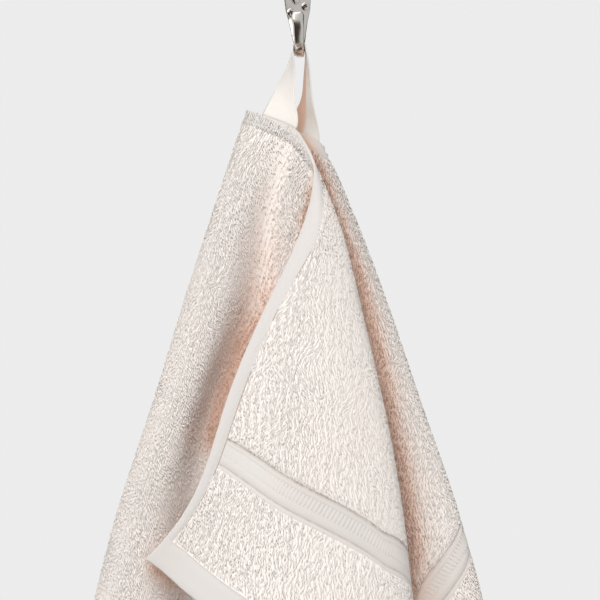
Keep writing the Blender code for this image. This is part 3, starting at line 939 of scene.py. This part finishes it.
# height over the ground cloth: least, and strength and pitch of its change
LOOP_LIFT = 0.08
LUMPS = (0.08, 5.0)
# random spreads: of the noise's pitches, of each loop's tilt and of its size
PITCHES = (0.7, 1.6)
TILTS = (0.3, 1.7)
SIZES = 0.25
PILE_PIECES = 3
PILE_SEED = 11
random = np.random.default_rng(5)


def slow_noise(u, v, strength, scale, waves=14):
    """A smooth random field over the flat cloth, about -strength to strength."""
    total = np.zeros_like(u)
    for _ in range(waves):
        heading = random.uniform(0, FULL_TURN)
        pitch = scale * random.uniform(*PITCHES)
        phase = random.uniform(0, FULL_TURN)
        total += np.sin((u * math.cos(heading) + v * math.sin(heading)) / pitch * FULL_TURN + phase)
    return strength * (total / math.sqrt(waves / 2) / PITCHES[1])


def pile_places():
    """Staggered flat places of loops, off the hems and the bands."""
    end = TOWEL_LENGTH / 2 - END_HEM - HEM_CLEAR
    u = np.arange(-TOWEL_LENGTH / 2 + END_HEM + HEM_CLEAR, end, LOOP_ACROSS)
    v = np.arange(TUCKED_HEM + FIRST_ROW, TOWEL_WIDTH - SIDE_HEM - HEM_CLEAR, LOOP_ALONG)
    u, v = np.meshgrid(u, v, indexing="ij")
    v = v + (np.arange(len(u)) % 2)[:, None] * LOOP_ALONG / 2
    u = u + random.uniform(-NUDGE[0], NUDGE[0], u.shape) * LOOP_ACROSS
    v = v + random.uniform(-NUDGE[1], NUDGE[1], v.shape) * LOOP_ALONG
    u, v = u.ravel(), v.ravel()
    end = from_end(u)
    keep = (end < BAND_NEAR - BAND_CLEAR[0]) | (end > BAND_FAR + BAND_CLEAR[1])
    keep &= from_side(v) > shown_hem(u, v) + ROLL_CLEAR
    return u[keep], v[keep]


def build_pile(face, side):
    u, v = pile_places()
    out = cloth.frame_at(u, v)[2] * side
    fall = unit(np.array([0.0, 0.0, -1.0]) - out * -out[:, 2:3])
    swirl = slow_noise(u, v, *SWIRL) + slow_noise(u, v, *RIPPLE)
    lay = fall * np.cos(swirl)[:, None] + np.cross(out, fall) * np.sin(swirl)[:, None]
    lay = unit(lay + out * (LOOP_TILT * random.uniform(*TILTS, len(u))[:, None]))
    height = half_thickness(u, v) + LOOP_LIFT + slow_noise(u, v, *LUMPS)
    points = cloth.point(u, v) + out * height[:, None] - lay * LOOP_LENGTH / MM / 2
    rows = (points, out, lay, painted_shade.at(u, v, side))
    sizes = {"Length": LOOP_LENGTH, "Width": LOOP_WIDTH, "Height": LOOP_HEIGHT, "Sides": 3, "Spread": SIZES}
    made = []
    for i, part in enumerate(np.array_split(np.argsort(u, kind="stable"), PILE_PIECES)):
        cuts = [row[part] for row in rows]
        name = f"pile_{face}_{i + 1}"
        made.append(set_copies(name, wedges_tree, *cuts, terry_pile, Seed=PILE_SEED + i, **sizes))
    return made


pile = build_pile("outer", 1) + build_pile("inner", -1)
print("pile:", sum(len(piece.data.polygons) for piece in pile) // 4, "loops")

# %% [markdown]
# ## Ribs and stitches
#
# The band's middle is ribbed: short cords lie across it, side by side. The hems are held by
# one line of machine stitches. All of them are copies on the cloth again, a few faces each.

# %% Ribs and stitches
RIB_FROM, RIB_TO = 81.2, 90.4
RIB_PITCH = 2.6
RIB_WIDTH = 3.3 * MM
RIB_HEIGHT = 0.32 * MM
STITCH_PITCH = 3.0
STITCH_LENGTH = 2.3 * MM
STITCH_WIDTH = 0.55 * MM
STITCH_FROM = 2
THREAD_LIFT = 0.05
# the first and last rib stand this far off the side hems
RIB_CLEAR = (1.2, 1.0)
THREAD = (0.84, 0.80, 0.76)
FACES = (("outer", 1), ("inner", -1))


def on_cloth(name, u, v, side, along_u, lift, mat, **sizes):
    """Copies at flat places on one face, lying along u or along v."""
    along, down, out = cloth.frame_at(u, v)
    out = out * side
    points = cloth.point(u, v) + out * (half_thickness(u, v) + lift)[:, None]
    lay = np.where(np.asarray(along_u)[:, None], along, down)
    closed = painted_shade.at(u, v, side)
    return set_copies(name, balls_tree, points, out, lay, closed, mat, Spread=0.05, Seed=3, **sizes)


def build_ribs():
    v = np.arange(SIDE_HEM + RIB_CLEAR[0], TOWEL_WIDTH - SIDE_HEM - RIB_CLEAR[1], RIB_PITCH)
    middle = TOWEL_LENGTH / 2 - (RIB_FROM + RIB_TO) / 2
    u = np.concatenate([np.full_like(v, middle), np.full_like(v, -middle)])
    v = np.concatenate([v, v])
    sizes = {"Length": (RIB_TO - RIB_FROM) * MM, "Width": RIB_WIDTH, "Height": RIB_HEIGHT}
    lies = np.ones(len(u), bool)
    return [
        on_cloth(f"ribs_{face}", u, v, side, lies, 0.0, band_weave, Sides=7, Rings=5, **sizes)
        for face, side in FACES
    ]


def stitch_places():
    """Flat places along the four hems, and whether each stitch runs along u."""
    half = TOWEL_LENGTH / 2
    side_in, end_in = SIDE_HEM - STITCH_IN, END_HEM - STITCH_IN
    along = np.arange(STITCH_FROM - half, half - STITCH_FROM, STITCH_PITCH)
    across = np.arange(side_in + STITCH_FROM, TOWEL_WIDTH - side_in - STITCH_FROM, STITCH_PITCH)
    u = [along, along, np.full_like(across, half - end_in), np.full_like(across, end_in - half)]
    v = [np.full_like(along, side_in), np.full_like(along, TOWEL_WIDTH - side_in), across, across]
    along_u = np.concatenate([np.full(len(row), i < 2) for i, row in enumerate(u)])
    u, v = np.concatenate(u), np.concatenate(v)
    shown = shown_hem(u, v) > SIDE_HEM - 1.0
    return u[shown], v[shown], along_u[shown]


def build_stitches():
    u, v, along_u = stitch_places()
    sizes = {"Length": STITCH_LENGTH, "Width": STITCH_WIDTH, "Height": STITCH_WIDTH}
    return [
        on_cloth(f"stitches_{face}", u, v, side, along_u, THREAD_LIFT, thread, Sides=3, Rings=3, **sizes)
        for face, side in FACES
    ]


def make_thread():
    mat = Material("thread", COTTON_LIGHT, Roughness=0.7)
    # painted shade: the thread darkens with the cloth's shelter
    colour = mat.mix(mat.attribute("painted_shade"), THREAD, COTTON_PAINTED_DEEP_SHADE)
    twist = mat.noise(2200.0, 1.0)
    return mat.finish(Base_Color=colour, Normal=mat.bump(twist, 0.1 * MM, 0.5))


thread = make_thread()
details = build_ribs() + build_stitches()
for piece in details:
    print(piece.name, len(piece.data.polygons), "faces")

# %% [markdown]
# ## The tape loop
#
# One length of flat woven tape goes from the front hem over the hook's arm and back into the
# hem. It follows the same stations as its solid, and both its ends run on a little way
# between the layers of the hem, where the stitching holds them.

# %% The tape's stations
TAPE_WIDTH = 22.0
TAPE_HALF = 0.5
ARM_RADIUS = 3.4
ARM_GAP = 0.3
CROOK_AXIS = 14.9
CROOK_Y = -19.7
CROOK_Z = -32.4
HOOK_LEAN = math.radians(1.8)
# front edge, back edge of the tape, from the hook down to the hem
LEFT_LEG = (((-1.6, -31, -58), (-9, -12, -60)), ((-1.5, -36, -80), (-15.5, -20, -74)))
RIGHT_LEG = (((8.5, -28, -60), (5, -9, -60)), ((11.5, -21, -85), (2, -9, -80)))
FRONT_SEWN_AT = (39.0, 39.0 - TAPE_WIDTH)
REAR_SEWN_AT = (-46.0, -46.0 + TAPE_WIDTH)
GATHER_ANGLE = math.radians(42)
WRAP_STEPS = (-90, -54, -18, 18, 54, 90)
TAPE_ACROSS = 32
TAPE_STEP = 0.9
# the stations at each sewn end: so far below the hem's edge, between its layers
TAPE_IN_HEM = (7.0, 3.5, 0.5)
# the tape's edge is rounded over this width, and a shallow line runs along it: place in
# from the edge, depth, width
TAPE_ROUND = 0.8
SELVEDGE = (2.6, 0.16, 0.7)
# painted shade on the inner side past the arm: share of the length and width of the change, then
# the same across the tape
INNER_DOWN = (0.55, 6.0)
INNER_ACROSS = (0.46, 0.14)
# painted shade in the crease at the hem: width, and share that is lost at the rear end
CREASE = (1.1, 0.7)
TAPE_LIGHT = (0.81, 0.78, 0.74)
TAPE_WARM = (0.90, 0.79, 0.69)
TAPE_INNER_SHADE = (0.80, 0.54, 0.41)
TAPE_YARN = 0.5 * MM
ACROSS = np.linspace(0.0, 1.0, TAPE_ACROSS + 1)


def lean(points):
    """Points of the upright hook, where they lie on the hook as it hangs on the wall."""
    c, s = math.cos(HOOK_LEAN), math.sin(HOOK_LEAN)
    x, y, z = np.moveaxis(np.asarray(points, float), -1, 0)
    return np.stack([c * x - s * z, y, s * x + c * z], axis=-1)


def tape_over_arm(wrap):
    reach = ARM_RADIUS + ARM_GAP + TAPE_HALF
    turn = math.radians(wrap)
    radius = CROOK_AXIS - reach * math.cos(turn)
    along = GATHER_ANGLE * (1 - 2 * ACROSS)
    x = np.full_like(along, reach * math.sin(turn))
    y = CROOK_Y - radius * np.sin(along)
    z = CROOK_Z - radius * np.cos(along)
    return lean(np.stack([x, y, z], axis=-1))


def tape_between(front, back):
    front, back = np.array(front, float), np.array(back, float)
    return front + (back - front) * ACROSS[:, None]


def tape_in_hem(sewn_at, below):
    return cloth.point(sewn_at[0] + (sewn_at[1] - sewn_at[0]) * ACROSS, below)


# %% The tape
def build_tape():
    stations = [tape_in_hem(FRONT_SEWN_AT, below) for below in TAPE_IN_HEM]
    stations += [tape_between(*edges) for edges in reversed(LEFT_LEG)]
    stations += [tape_over_arm(wrap) for wrap in WRAP_STEPS]
    stations += [tape_between(*edges) for edges in RIGHT_LEG]
    stations += [tape_in_hem(REAR_SEWN_AT, below) for below in reversed(TAPE_IN_HEM)]
    stations = np.array(stations)
    middle = stations[:, TAPE_ACROSS // 2]
    knots = running_total(np.linalg.norm(np.diff(middle, axis=0), axis=1))
    length = knots[-1]
    places = np.linspace(0.0, length, round(length / TAPE_STEP) + 1)
    rows = natural_spline(knots, stations.reshape(len(stations), -1), places)
    rows = rows.reshape(len(places), TAPE_ACROSS + 1, 3)
    out = unit(np.cross(np.gradient(rows, axis=1), np.gradient(rows, axis=0)))
    edge_in = np.minimum(ACROSS, 1 - ACROSS) * TAPE_WIDTH
    half = TAPE_HALF * np.sqrt(np.clip(edge_in / TAPE_ROUND, 0.02, 1.0))
    half = half - SELVEDGE[1] * hump(edge_in - SELVEDGE[0], SELVEDGE[2])
    half = np.broadcast_to(half, rows.shape[:2])
    flat = np.stack(np.meshgrid(places, ACROSS * TAPE_WIDTH, indexing="ij"), axis=-1)
    obj = double_sheet("tape_loop", rows, out, half, flat, [tape_weave])
    # painted shade on the tape's inner side past the arm
    past_arm = step_up(places, length * INNER_DOWN[0], INNER_DOWN[1])[:, None]
    inner = step_up(ACROSS, *INNER_ACROSS)[None, :]
    # painted shade in the crease where each end goes into the hem
    from_hem = np.minimum(places, length - places)[:, None] - TAPE_IN_HEM[0]
    crease_shade = hump(from_hem, CREASE[0]) * (1 - CREASE[1] * past_arm) * np.ones_like(inner)
    for name, amount in (("painted_shade", past_arm * inner), ("crease_shade", crease_shade)):
        put_number(obj, name, np.concatenate([amount.ravel(), amount[1:-1, 1:-1].ravel()]))
    return obj, length


def make_tape_weave():
    mat = Material("tape_weave", TAPE_LIGHT, Roughness=0.8, Sheen_Weight=0.1)
    u, v = mat.flat_place()
    weave = woven_height(mat, TAPE_YARN, TAPE_YARN)
    patches = mat.noise(60.0, 2.0)
    light = mat.mix(patches * 0.3, TAPE_LIGHT, TAPE_WARM)
    # painted shade on the tape's inner side
    colour = mat.mix(mat.attribute("painted_shade"), light, TAPE_INNER_SHADE)
    # painted shade in the crease at the hem
    colour = mat.mix(mat.attribute("crease_shade") * 0.7, colour, DARK_LINE_AND_SHADE)
    return mat.finish(Base_Color=colour, Normal=mat.bump(weave, 0.1 * MM, 0.6))


tape_weave = make_tape_weave()
tape, tape_length = build_tape()
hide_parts("hanging_loop")
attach(tape, "root")
print(f"tape: {tape_length:.0f} mm long, {len(tape.data.polygons)} faces")

# %% [markdown]
# ## The hook
#
# The hook is one small casting, polished and nickel plated: a wall plate with a low oval
# boss, and a flat-fronted prong that leaves the plate, turns up in a crook and ends in a
# rounded tongue. Its flat faces matter more than its size: each reflects a different part of
# the room, which is what makes the metal read as metal. The prong is a loft through squarish
# sections, joined to the plate, and the screw holes are cut last.

# %% The hook's sizes
PLATE_WIDTH = 19.0
PLATE_HEIGHT = 46.0
PLATE_THICKNESS = 3.0
PLATE_EDGE = 0.7
ARC_STEPS = 24
# right side of the plate below its straight sides, x and z, lowest first
PLATE_TAPER = ((5.6, -23.0), (7.0, -22.3), (8.5, -16.0), (9.5, -6.0))
BOSS = (-1.2, -2.4, -1.0)
BOSS_SIZE = (4.8, 2.2, 11.0)
# stations down the shank: height, y, half width, half thickness
SHANK = ((-18.5, -1.6, 6.6, 1.2), (-23.0, -2.2, 6.7, 1.9), (-28.0, -3.4, 5.9, 2.7))
SHANK_EASE = 0.5
TONGUE_EASE = 0.1
EASE_POWER = 8
ARM_FLATNESS = 0.98
CROOK_STEPS = 28
# the tongue: height, half width, half thickness
TONGUE = ((-27.0, 3.8, 3.32), (-23.8, 3.9, 2.75), (-22.2, 3.4, 2.1), (-21.5, 2.5, 1.4), (-21.3, 1.3, 0.7))
SECTION_SIDES = 40
SQUARENESS = 4.6
SHANK_SQUARENESS = 2.6
TONGUE_TWIST = math.radians(10.0)
BOSS_TIP = math.radians(4.5)
SHARP_OVER = math.radians(35)
SCREW_HEAD_RADIUS = 3.0
SCREW_HEAD_HEIGHT = 1.7
SCREW_RIM = 0.5
SCREW_SHANK_RADIUS = 1.4
SCREW_DOME = np.radians((8, 22, 38, 54, 68, 78))
# the cross recess: half length, half width, squareness; then depth and share at its foot
RECESS = (1.9, 0.55, 5.0)
RECESS_FOOT = (0.55, 0.55)
# the screw holes: radius, depth of the countersink, room round the head
DRILL_RADIUS = 1.7
COUNTERSINK = 1.2
HEAD_SEAT = SCREW_HEAD_RADIUS - 0.3
SCREWS = (("screw_left", (-4.8, -17.4), 28.0), ("screw_right", (5.3, -13.4), 62.0))


# %% Lofts and joins
def section(centre, across, out, square=2.0):
    """A closed ring of points; square 2 is an oval, more is nearer to a rectangle."""
    turn = np.linspace(0, FULL_TURN, SECTION_SIDES, endpoint=False)
    wide, deep = (np.sign(way) * np.abs(way) ** (2 / square) for way in (np.cos(turn), np.sin(turn)))
    return np.array(centre) + np.outer(wide, across) + np.outer(deep, out)


def loft(name, sections, mat):
    """A closed solid through rings of points, with a cap at each end."""
    size = SECTION_SIDES
    corner = np.arange(len(sections) * size).reshape(-1, size)
    after = np.roll(corner, -1, axis=1)
    sides = np.stack([corner[:-1], after[:-1], after[1:], corner[1:]], axis=-1).reshape(-1, 4)
    faces = [*map(tuple, sides.tolist()), tuple(corner[0].tolist()), tuple(corner[-1].tolist())]
    obj = new_piece(name, lean(np.concatenate(sections)), faces, [mat])
    face_outwards(obj.data)
    return obj


def face_outwards(mesh):
    bm = bmesh.new()
    bm.from_mesh(mesh)
    bmesh.ops.remove_doubles(bm, verts=bm.verts, dist=1e-6)
    bmesh.ops.recalc_face_normals(bm, faces=bm.faces)
    bm.to_mesh(mesh)
    bm.free()


def join(obj, tool, operation):
    """A Boolean of two pieces, made real; the tool is used up."""
    maker = obj.modifiers.new(operation, "BOOLEAN")
    maker.operation = operation
    maker.object = tool
    maker.solver = "EXACT"
    maker.use_self = True
    maker.material_mode = "TRANSFER"
    mesh = made_real(obj)
    obj.modifiers.clear()
    obj.data = mesh
    bpy.data.objects.remove(tool, do_unlink=True)


# %% Nickel
# noise scales of the tarnish, of the finest polishing marks and of the painted shade in the recesses
TARNISH_CLOUDS = 240.0
POLISH_MARKS = 2600.0
RECESS_CLOUDS = 900.0
NICKEL = (0.80, 0.765, 0.72)
NICKEL_TARNISH = (0.66, 0.61, 0.56)
RECESS_SHADE_BROWN = (0.34, 0.25, 0.20)
RECESS_SHADE_DARK = (0.16, 0.12, 0.10)


def make_nickel():
    mat = Material("polished_nickel", NICKEL, Metallic=1.0)
    cloud = mat.noise(TARNISH_CLOUDS, 3.0)
    fine = mat.noise(POLISH_MARKS, 2.0)
    colour = mat.mix((cloud - 0.5).at_least(0.0) * 1.4, NICKEL, NICKEL_TARNISH)
    rough = 0.10 + cloud * 0.10
    return mat.finish(Base_Color=colour, Roughness=rough, Normal=mat.bump(fine, 0.02 * MM, 0.25))


def make_recess_shade():
    """Painted shade in the screw slots and round the heads: dark brown metal where shade falls."""
    mat = Material("unpolished_recess", RECESS_SHADE_BROWN, Metallic=1.0)
    cloud = mat.noise(RECESS_CLOUDS, 2.0)
    return mat.finish(Base_Color=mat.mix(cloud, RECESS_SHADE_BROWN, RECESS_SHADE_DARK), Roughness=0.35 + cloud * 0.3)


nickel = make_nickel()
recess_shade = make_recess_shade()
print("metal:", nickel.name, recess_shade.name)


# %% The plate, the prong and the boss
def build_plate():
    """The wall plate: a round-topped bar that tapers below, with a softened front edge."""
    radius = PLATE_WIDTH / 2
    top = PLATE_HEIGHT / 2 - radius
    turns = [math.pi * k / ARC_STEPS for k in range(ARC_STEPS + 1)]
    outline = [(radius * math.cos(a), top + radius * math.sin(a)) for a in turns]
    outline += [(-x, z) for x, z in reversed(PLATE_TAPER)]
    outline += list(PLATE_TAPER)
    curve = bpy.data.curves.new("plate_outline", "CURVE")
    curve.dimensions = "2D"
    curve.fill_mode = "BOTH"
    curve.extrude = (PLATE_THICKNESS / 2 - PLATE_EDGE) * MM
    curve.bevel_depth = PLATE_EDGE * MM
    curve.bevel_resolution = 3
    curve.offset = -PLATE_EDGE * MM
    path = curve.splines.new("POLY")
    path.points.add(len(outline) - 1)
    for spot, (x, z) in zip(path.points, outline):
        spot.co = (x * MM, z * MM, 0, 1)
    path.use_cyclic_u = True
    flat = add_object("plate_outline", curve)
    mesh = made_real(flat)
    bpy.data.objects.remove(flat, do_unlink=True)
    across, up, out = (np.array([v.co for v in mesh.vertices]) / MM).T
    upright = np.stack([across, -out - PLATE_THICKNESS / 2, up], 1)
    faces = [tuple(p.vertices) for p in mesh.polygons]
    plate = new_piece("hook_casting", lean(upright), faces, [nickel])
    face_outwards(plate.data)
    return plate


def build_prong():
    sections = []
    for z, y, half_width, half_thick in SHANK:
        sections.append(section((0, y, z), (half_width, 0, 0), (0, half_thick, 0), SHANK_SQUARENESS))
    for turn in np.linspace(0, math.pi, CROOK_STEPS + 1):
        out = np.array([0, math.cos(turn), -math.sin(turn)])
        centre = np.array([0, CROOK_Y, CROOK_Z]) + out * CROOK_AXIS
        ease = 1 + (SHANK_EASE if turn < math.pi / 2 else TONGUE_EASE) * math.cos(turn) ** EASE_POWER
        twist = TONGUE_TWIST * (turn / math.pi) ** 2
        wide = np.array([math.cos(twist), -math.sin(twist), 0]) * ARM_RADIUS * ease
        sections.append(section(centre, wide, out * ARM_RADIUS * ARM_FLATNESS, SQUARENESS))
    wide = np.array([math.cos(TONGUE_TWIST), -math.sin(TONGUE_TWIST), 0])
    deep = np.array([-math.sin(TONGUE_TWIST), -math.cos(TONGUE_TWIST), 0])
    for z, half_width, half_thick in TONGUE:
        centre = (0, CROOK_Y - CROOK_AXIS, z)
        sections.append(section(centre, wide * half_width, deep * half_thick, SQUARENESS))
    return loft("prong", sections, nickel)


def turned(name, place, profile, mat):
    """A round piece about an axis that points away from the wall."""
    x, z = place
    rings = [section((x, y, z), (r, 0, 0), (0, 0, r)) for y, r in profile]
    return loft(name, rings, mat)


def build_boss():
    turn = np.linspace(0, math.pi, ARC_STEPS + 1)[1:-1]
    wide, thick, tall = BOSS_SIZE
    rings = []
    for a in turn:
        y = BOSS[1] + thick * math.cos(a)
        share = math.sin(a) ** 0.5
        up = (0, tall * share * math.sin(BOSS_TIP), tall * share)
        rings.append(section((BOSS[0], y, BOSS[2]), (wide * share, 0, 0), up))
    return loft("boss", rings, nickel)


def build_screw(name, place, turn):
    """An oval-head screw with a cross recess, which ends at the wall's face."""
    front = -PLATE_THICKNESS
    head = SCREW_HEAD_RADIUS
    bulge = SCREW_HEAD_HEIGHT - SCREW_RIM
    profile = [(-0.05, SCREW_SHANK_RADIUS), (front + 0.9, SCREW_SHANK_RADIUS)]
    profile += [(front - 0.2, head - 0.7), (front - 0.3, head - 0.05), (front - SCREW_RIM, head)]
    profile += [(front - SCREW_RIM - bulge * math.sin(a), head * math.cos(a) ** 0.8) for a in SCREW_DOME]
    screw = turned(name, place, profile, nickel)
    half_length, half_width, square = RECESS
    for angle in np.radians((turn, turn + 90)):
        along = np.array([math.cos(angle), 0, math.sin(angle)])
        beside = np.array([-math.sin(angle), 0, math.cos(angle)]) * half_width
        ends = ((front - SCREW_HEAD_HEIGHT - 1.0, 1.0), (front - RECESS_FOOT[0], RECESS_FOOT[1]))
        slot = [
            section((place[0], y, place[1]), along * half_length * share, beside, square)
            for y, share in ends
        ]
        # the slot's walls take the painted recess shade
        join(screw, loft("slot", slot, recess_shade), "DIFFERENCE")
    return screw


casting = build_plate()
join(casting, build_prong(), "UNION")
join(casting, build_boss(), "UNION")
screws = []
for name, place, turn in SCREWS:
    front = -PLATE_THICKNESS
    drill = [(1.0, DRILL_RADIUS), (front + COUNTERSINK, DRILL_RADIUS)]
    drill += [(front, HEAD_SEAT), (front - 4.0, HEAD_SEAT)]
    # the hole's walls take the painted recess shade
    join(casting, turned("drill", place, drill, recess_shade), "DIFFERENCE")
    screws.append(build_screw(name + "_head", place, turn))
    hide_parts(name)
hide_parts("wall_hook")
for piece in (casting, *screws):
    piece.data.shade_smooth()
    piece.data.set_sharp_from_angle(angle=SHARP_OVER)
    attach(piece, "root")
print("hook:", len(casting.data.polygons), "faces")

# %% [markdown]
# ## The camera
#
# The towel hangs at the middle of the picture and is seen straight on, from a little over a
# metre away, through a fairly long lens. The lower end of the cloth runs out of the picture.

# %% Camera
EYE = (0.002, -1.4, -0.2167)
VIEW_ANGLE = math.radians(16.93)
camera_data = bpy.data.cameras.new("camera")
camera_data.angle = VIEW_ANGLE
camera = add_object("camera", camera_data)
camera.location = EYE
camera.rotation_euler = (math.radians(90), 0, 0)
scene.camera = camera
print("camera:", -EYE[1], "m in front of the wall,", round(math.degrees(VIEW_ANGLE), 1), "degrees wide")

# %% [markdown]
# ## Light
#
# The light is soft and comes from the front: one softbox a little to the left of the camera,
# and weaker ones above it and behind the towel. The world is a pale room. Cloth hardly shows
# what the room looks like, but polished metal shows nothing else, so the room has broad areas
# of its own: a bright left side, a greyer right side, one dark area beside the camera and a
# warm floor, which stands for the towel's own colour thrown back on the metal.

# %% Light
scene.view_settings.view_transform = "Standard"
WHITE = (1.0, 1.0, 1.0)
WALL_WHITE = 0.84
# how bright each area of the room is; METAL_SEES adds to it where metal looks, low and high
ROOM_LEFT = 0.64
ROOM_RIGHT = 0.44
ROOM_HIGH = 0.28
ROOM_WALL = 0.64
ROOM_FLOOR = 0.23
ROOM_DARK = 0.03
METAL_SEES = (1.0, 0.36)
METAL_SEES_WALL = (0.8, -0.4)
# degrees turned to the right between which each area's edge lies
RIGHT_FROM = (-50.0, -22.0)
HIGH_UNSEEN_FROM = (-34.0, -16.0)
DARK_FROM = (-84.0, -74.0)
DARK_TO = (-15.5, -11.5)
# the black flag that the metal sees at both sides of the towel; the left one begins sooner
FLAG_FROM = (112.0, 120.0)
FLAG_TO = (160.0, 168.0)
FLAG_LEFT = 1.1
FLAG_DEPTH = 0.85
# degrees up; the floor's edge sinks behind the wall's plane
DARK_BELOW = (11.0, 15.0)
DARK_ABOVE = (-70.0, -55.0)
HIGH_EDGE = (12.0, 16.0)
FLOOR_EDGE = (-80.0, -56.0)
FLOOR_SINKS = 40.0
# how far a direction points behind the wall's plane, and how far to the right
WALL_EDGE = (0.05, 0.3)
WALL_SHADED = (-0.3, 0.3)
DARK_TINT = (1.0, 0.78, 0.66)
FLOOR_TINT = (1.0, 0.66, 0.54)


class Room(Nodes):
    """The world's node tree."""

    def __init__(self, name):
        self.made = bpy.data.worlds.new(name)
        self.made.use_nodes = True
        super().__init__(self.made.node_tree)
        self.tree.nodes.clear()

    def ramp(self, value, edge, low=0.0, high=1.0):
        """A smooth change from low to high while the value crosses an edge."""
        given = {"Value": value, "From Min": edge[0], "From Max": edge[1], "To Min": low, "To Max": high}
        return self.node("ShaderNodeMapRange", {"interpolation_type": "SMOOTHSTEP"}, given)

    def between(self, value, start, end):
        return self.ramp(value, start) * self.ramp(value, end, 1.0, 0.0)

    def shine(self, colour, strength):
        return self.node("ShaderNodeBackground", None, {"Color": colour, "Strength": strength})


def make_world():
    """A room of broad areas for the metal to reflect, and a plain pale background."""
    room = Room("pale_room")
    x, y, z = room.parts(room.node("ShaderNodeTexCoord", output="Generated"))
    turn = x.maths("ARCTAN2", y * -1.0) * (180 / math.pi)
    height = z.maths("ARCSINE") * (180 / math.pi)
    level = room.ramp(turn, RIGHT_FROM, ROOM_LEFT, ROOM_RIGHT)
    glossy = room.node("ShaderNodeLightPath", output="Is Glossy Ray")
    high = room.ramp(height, HIGH_EDGE, 0.0, ROOM_HIGH)
    level = level + high * (1 - glossy * room.ramp(turn, HIGH_UNSEEN_FROM))
    dark = room.between(turn, DARK_FROM, DARK_TO) * room.between(height, DARK_ABOVE, DARK_BELOW)
    level = level * (1 - dark) + dark * ROOM_DARK
    tint = room.mix(dark, WHITE, DARK_TINT)
    wall = room.ramp(y, WALL_EDGE)
    floor = room.ramp(height - y.at_least(0.0) * FLOOR_SINKS, FLOOR_EDGE, 1.0, 0.0)
    level = level * (glossy * room.ramp(turn, RIGHT_FROM, *METAL_SEES) + 1.0)
    behind = (glossy * room.ramp(x, WALL_SHADED, *METAL_SEES_WALL) + 1.0) * ROOM_WALL
    level = (level * (1 - wall) + wall * behind) * (1 - floor) + floor * ROOM_FLOOR
    flag = room.between(turn.at_least(turn * -FLAG_LEFT), FLAG_FROM, FLAG_TO)
    level = level * (1 - glossy * flag * FLAG_DEPTH)
    tint = room.mix(floor, room.mix(wall, tint, WHITE), FLOOR_TINT)
    rays = room.node("ShaderNodeLightPath", output="Is Camera Ray")
    shown = {0: rays, 1: room.shine(tint, level), 2: room.shine((*WHITE, 1.0), WALL_WHITE)}
    room.add("ShaderNodeOutputWorld", None, {0: room.node("ShaderNodeMixShader", None, shown)})
    return room.made


scene.world = make_world()


# name, degrees to the left of the camera, degrees up, power
LAMPS = (
    ("key_softbox", 18.0, 10.0, 21.2),
    ("high_fill", 0.0, 35.0, 8.5),
    ("back_fill", 165.0, 20.0, 12.0),
)
LAMP_FAR = 2.0
LAMP_SIZE = 1.0
AIM = Vector((0.0, -0.05, -0.3))
for name, left, up, power in LAMPS:
    left, up = math.radians(left), math.radians(up)
    way = Vector((-math.sin(left) * math.cos(up), -math.cos(left) * math.cos(up), math.sin(up)))
    data = bpy.data.lights.new(name, "AREA")
    data.shape = "SQUARE"
    data.size = LAMP_SIZE
    data.energy = power
    lamp = add_object(name, data)
    lamp.location = AIM + way * LAMP_FAR
    lamp.rotation_euler = (-way).to_track_quat("-Z", "Y").to_euler()
    lamp.visible_glossy = False
print(len(LAMPS), "softboxes round a", scene.world.name)

# %% [markdown]
# ## The floor
#
# A plain pale disc lies a metre below the hook, so that a picture from above has ground under
# the towel. Only the camera sees it, so that it neither lights the cloth nor shows in the metal.

# %% The floor
FLOOR_AT = -1.0
FLOOR_RADIUS = 2.4
FLOOR_SIDES = 64
FLOOR_PALE = (0.70, 0.685, 0.665)
FLOOR_WARM = (0.675, 0.655, 0.635)
pale_floor = Material("pale_floor", FLOOR_PALE, Roughness=0.9)
floor_tone = pale_floor.mix(pale_floor.noise(3.0), FLOOR_PALE, FLOOR_WARM)
round_about = np.linspace(0, FULL_TURN, FLOOR_SIDES, endpoint=False)
across, away = FLOOR_RADIUS * np.cos(round_about), FLOOR_RADIUS * np.sin(round_about)
rim = np.stack([across, away, np.full(FLOOR_SIDES, FLOOR_AT)], 1)
dressed = pale_floor.finish(Base_Color=floor_tone)
floor = new_piece("floor", rim / MM, [tuple(range(FLOOR_SIDES))], [dressed])
floor.visible_diffuse = False
floor.visible_glossy = False
print("floor:", -FLOOR_AT, "m below the hook")
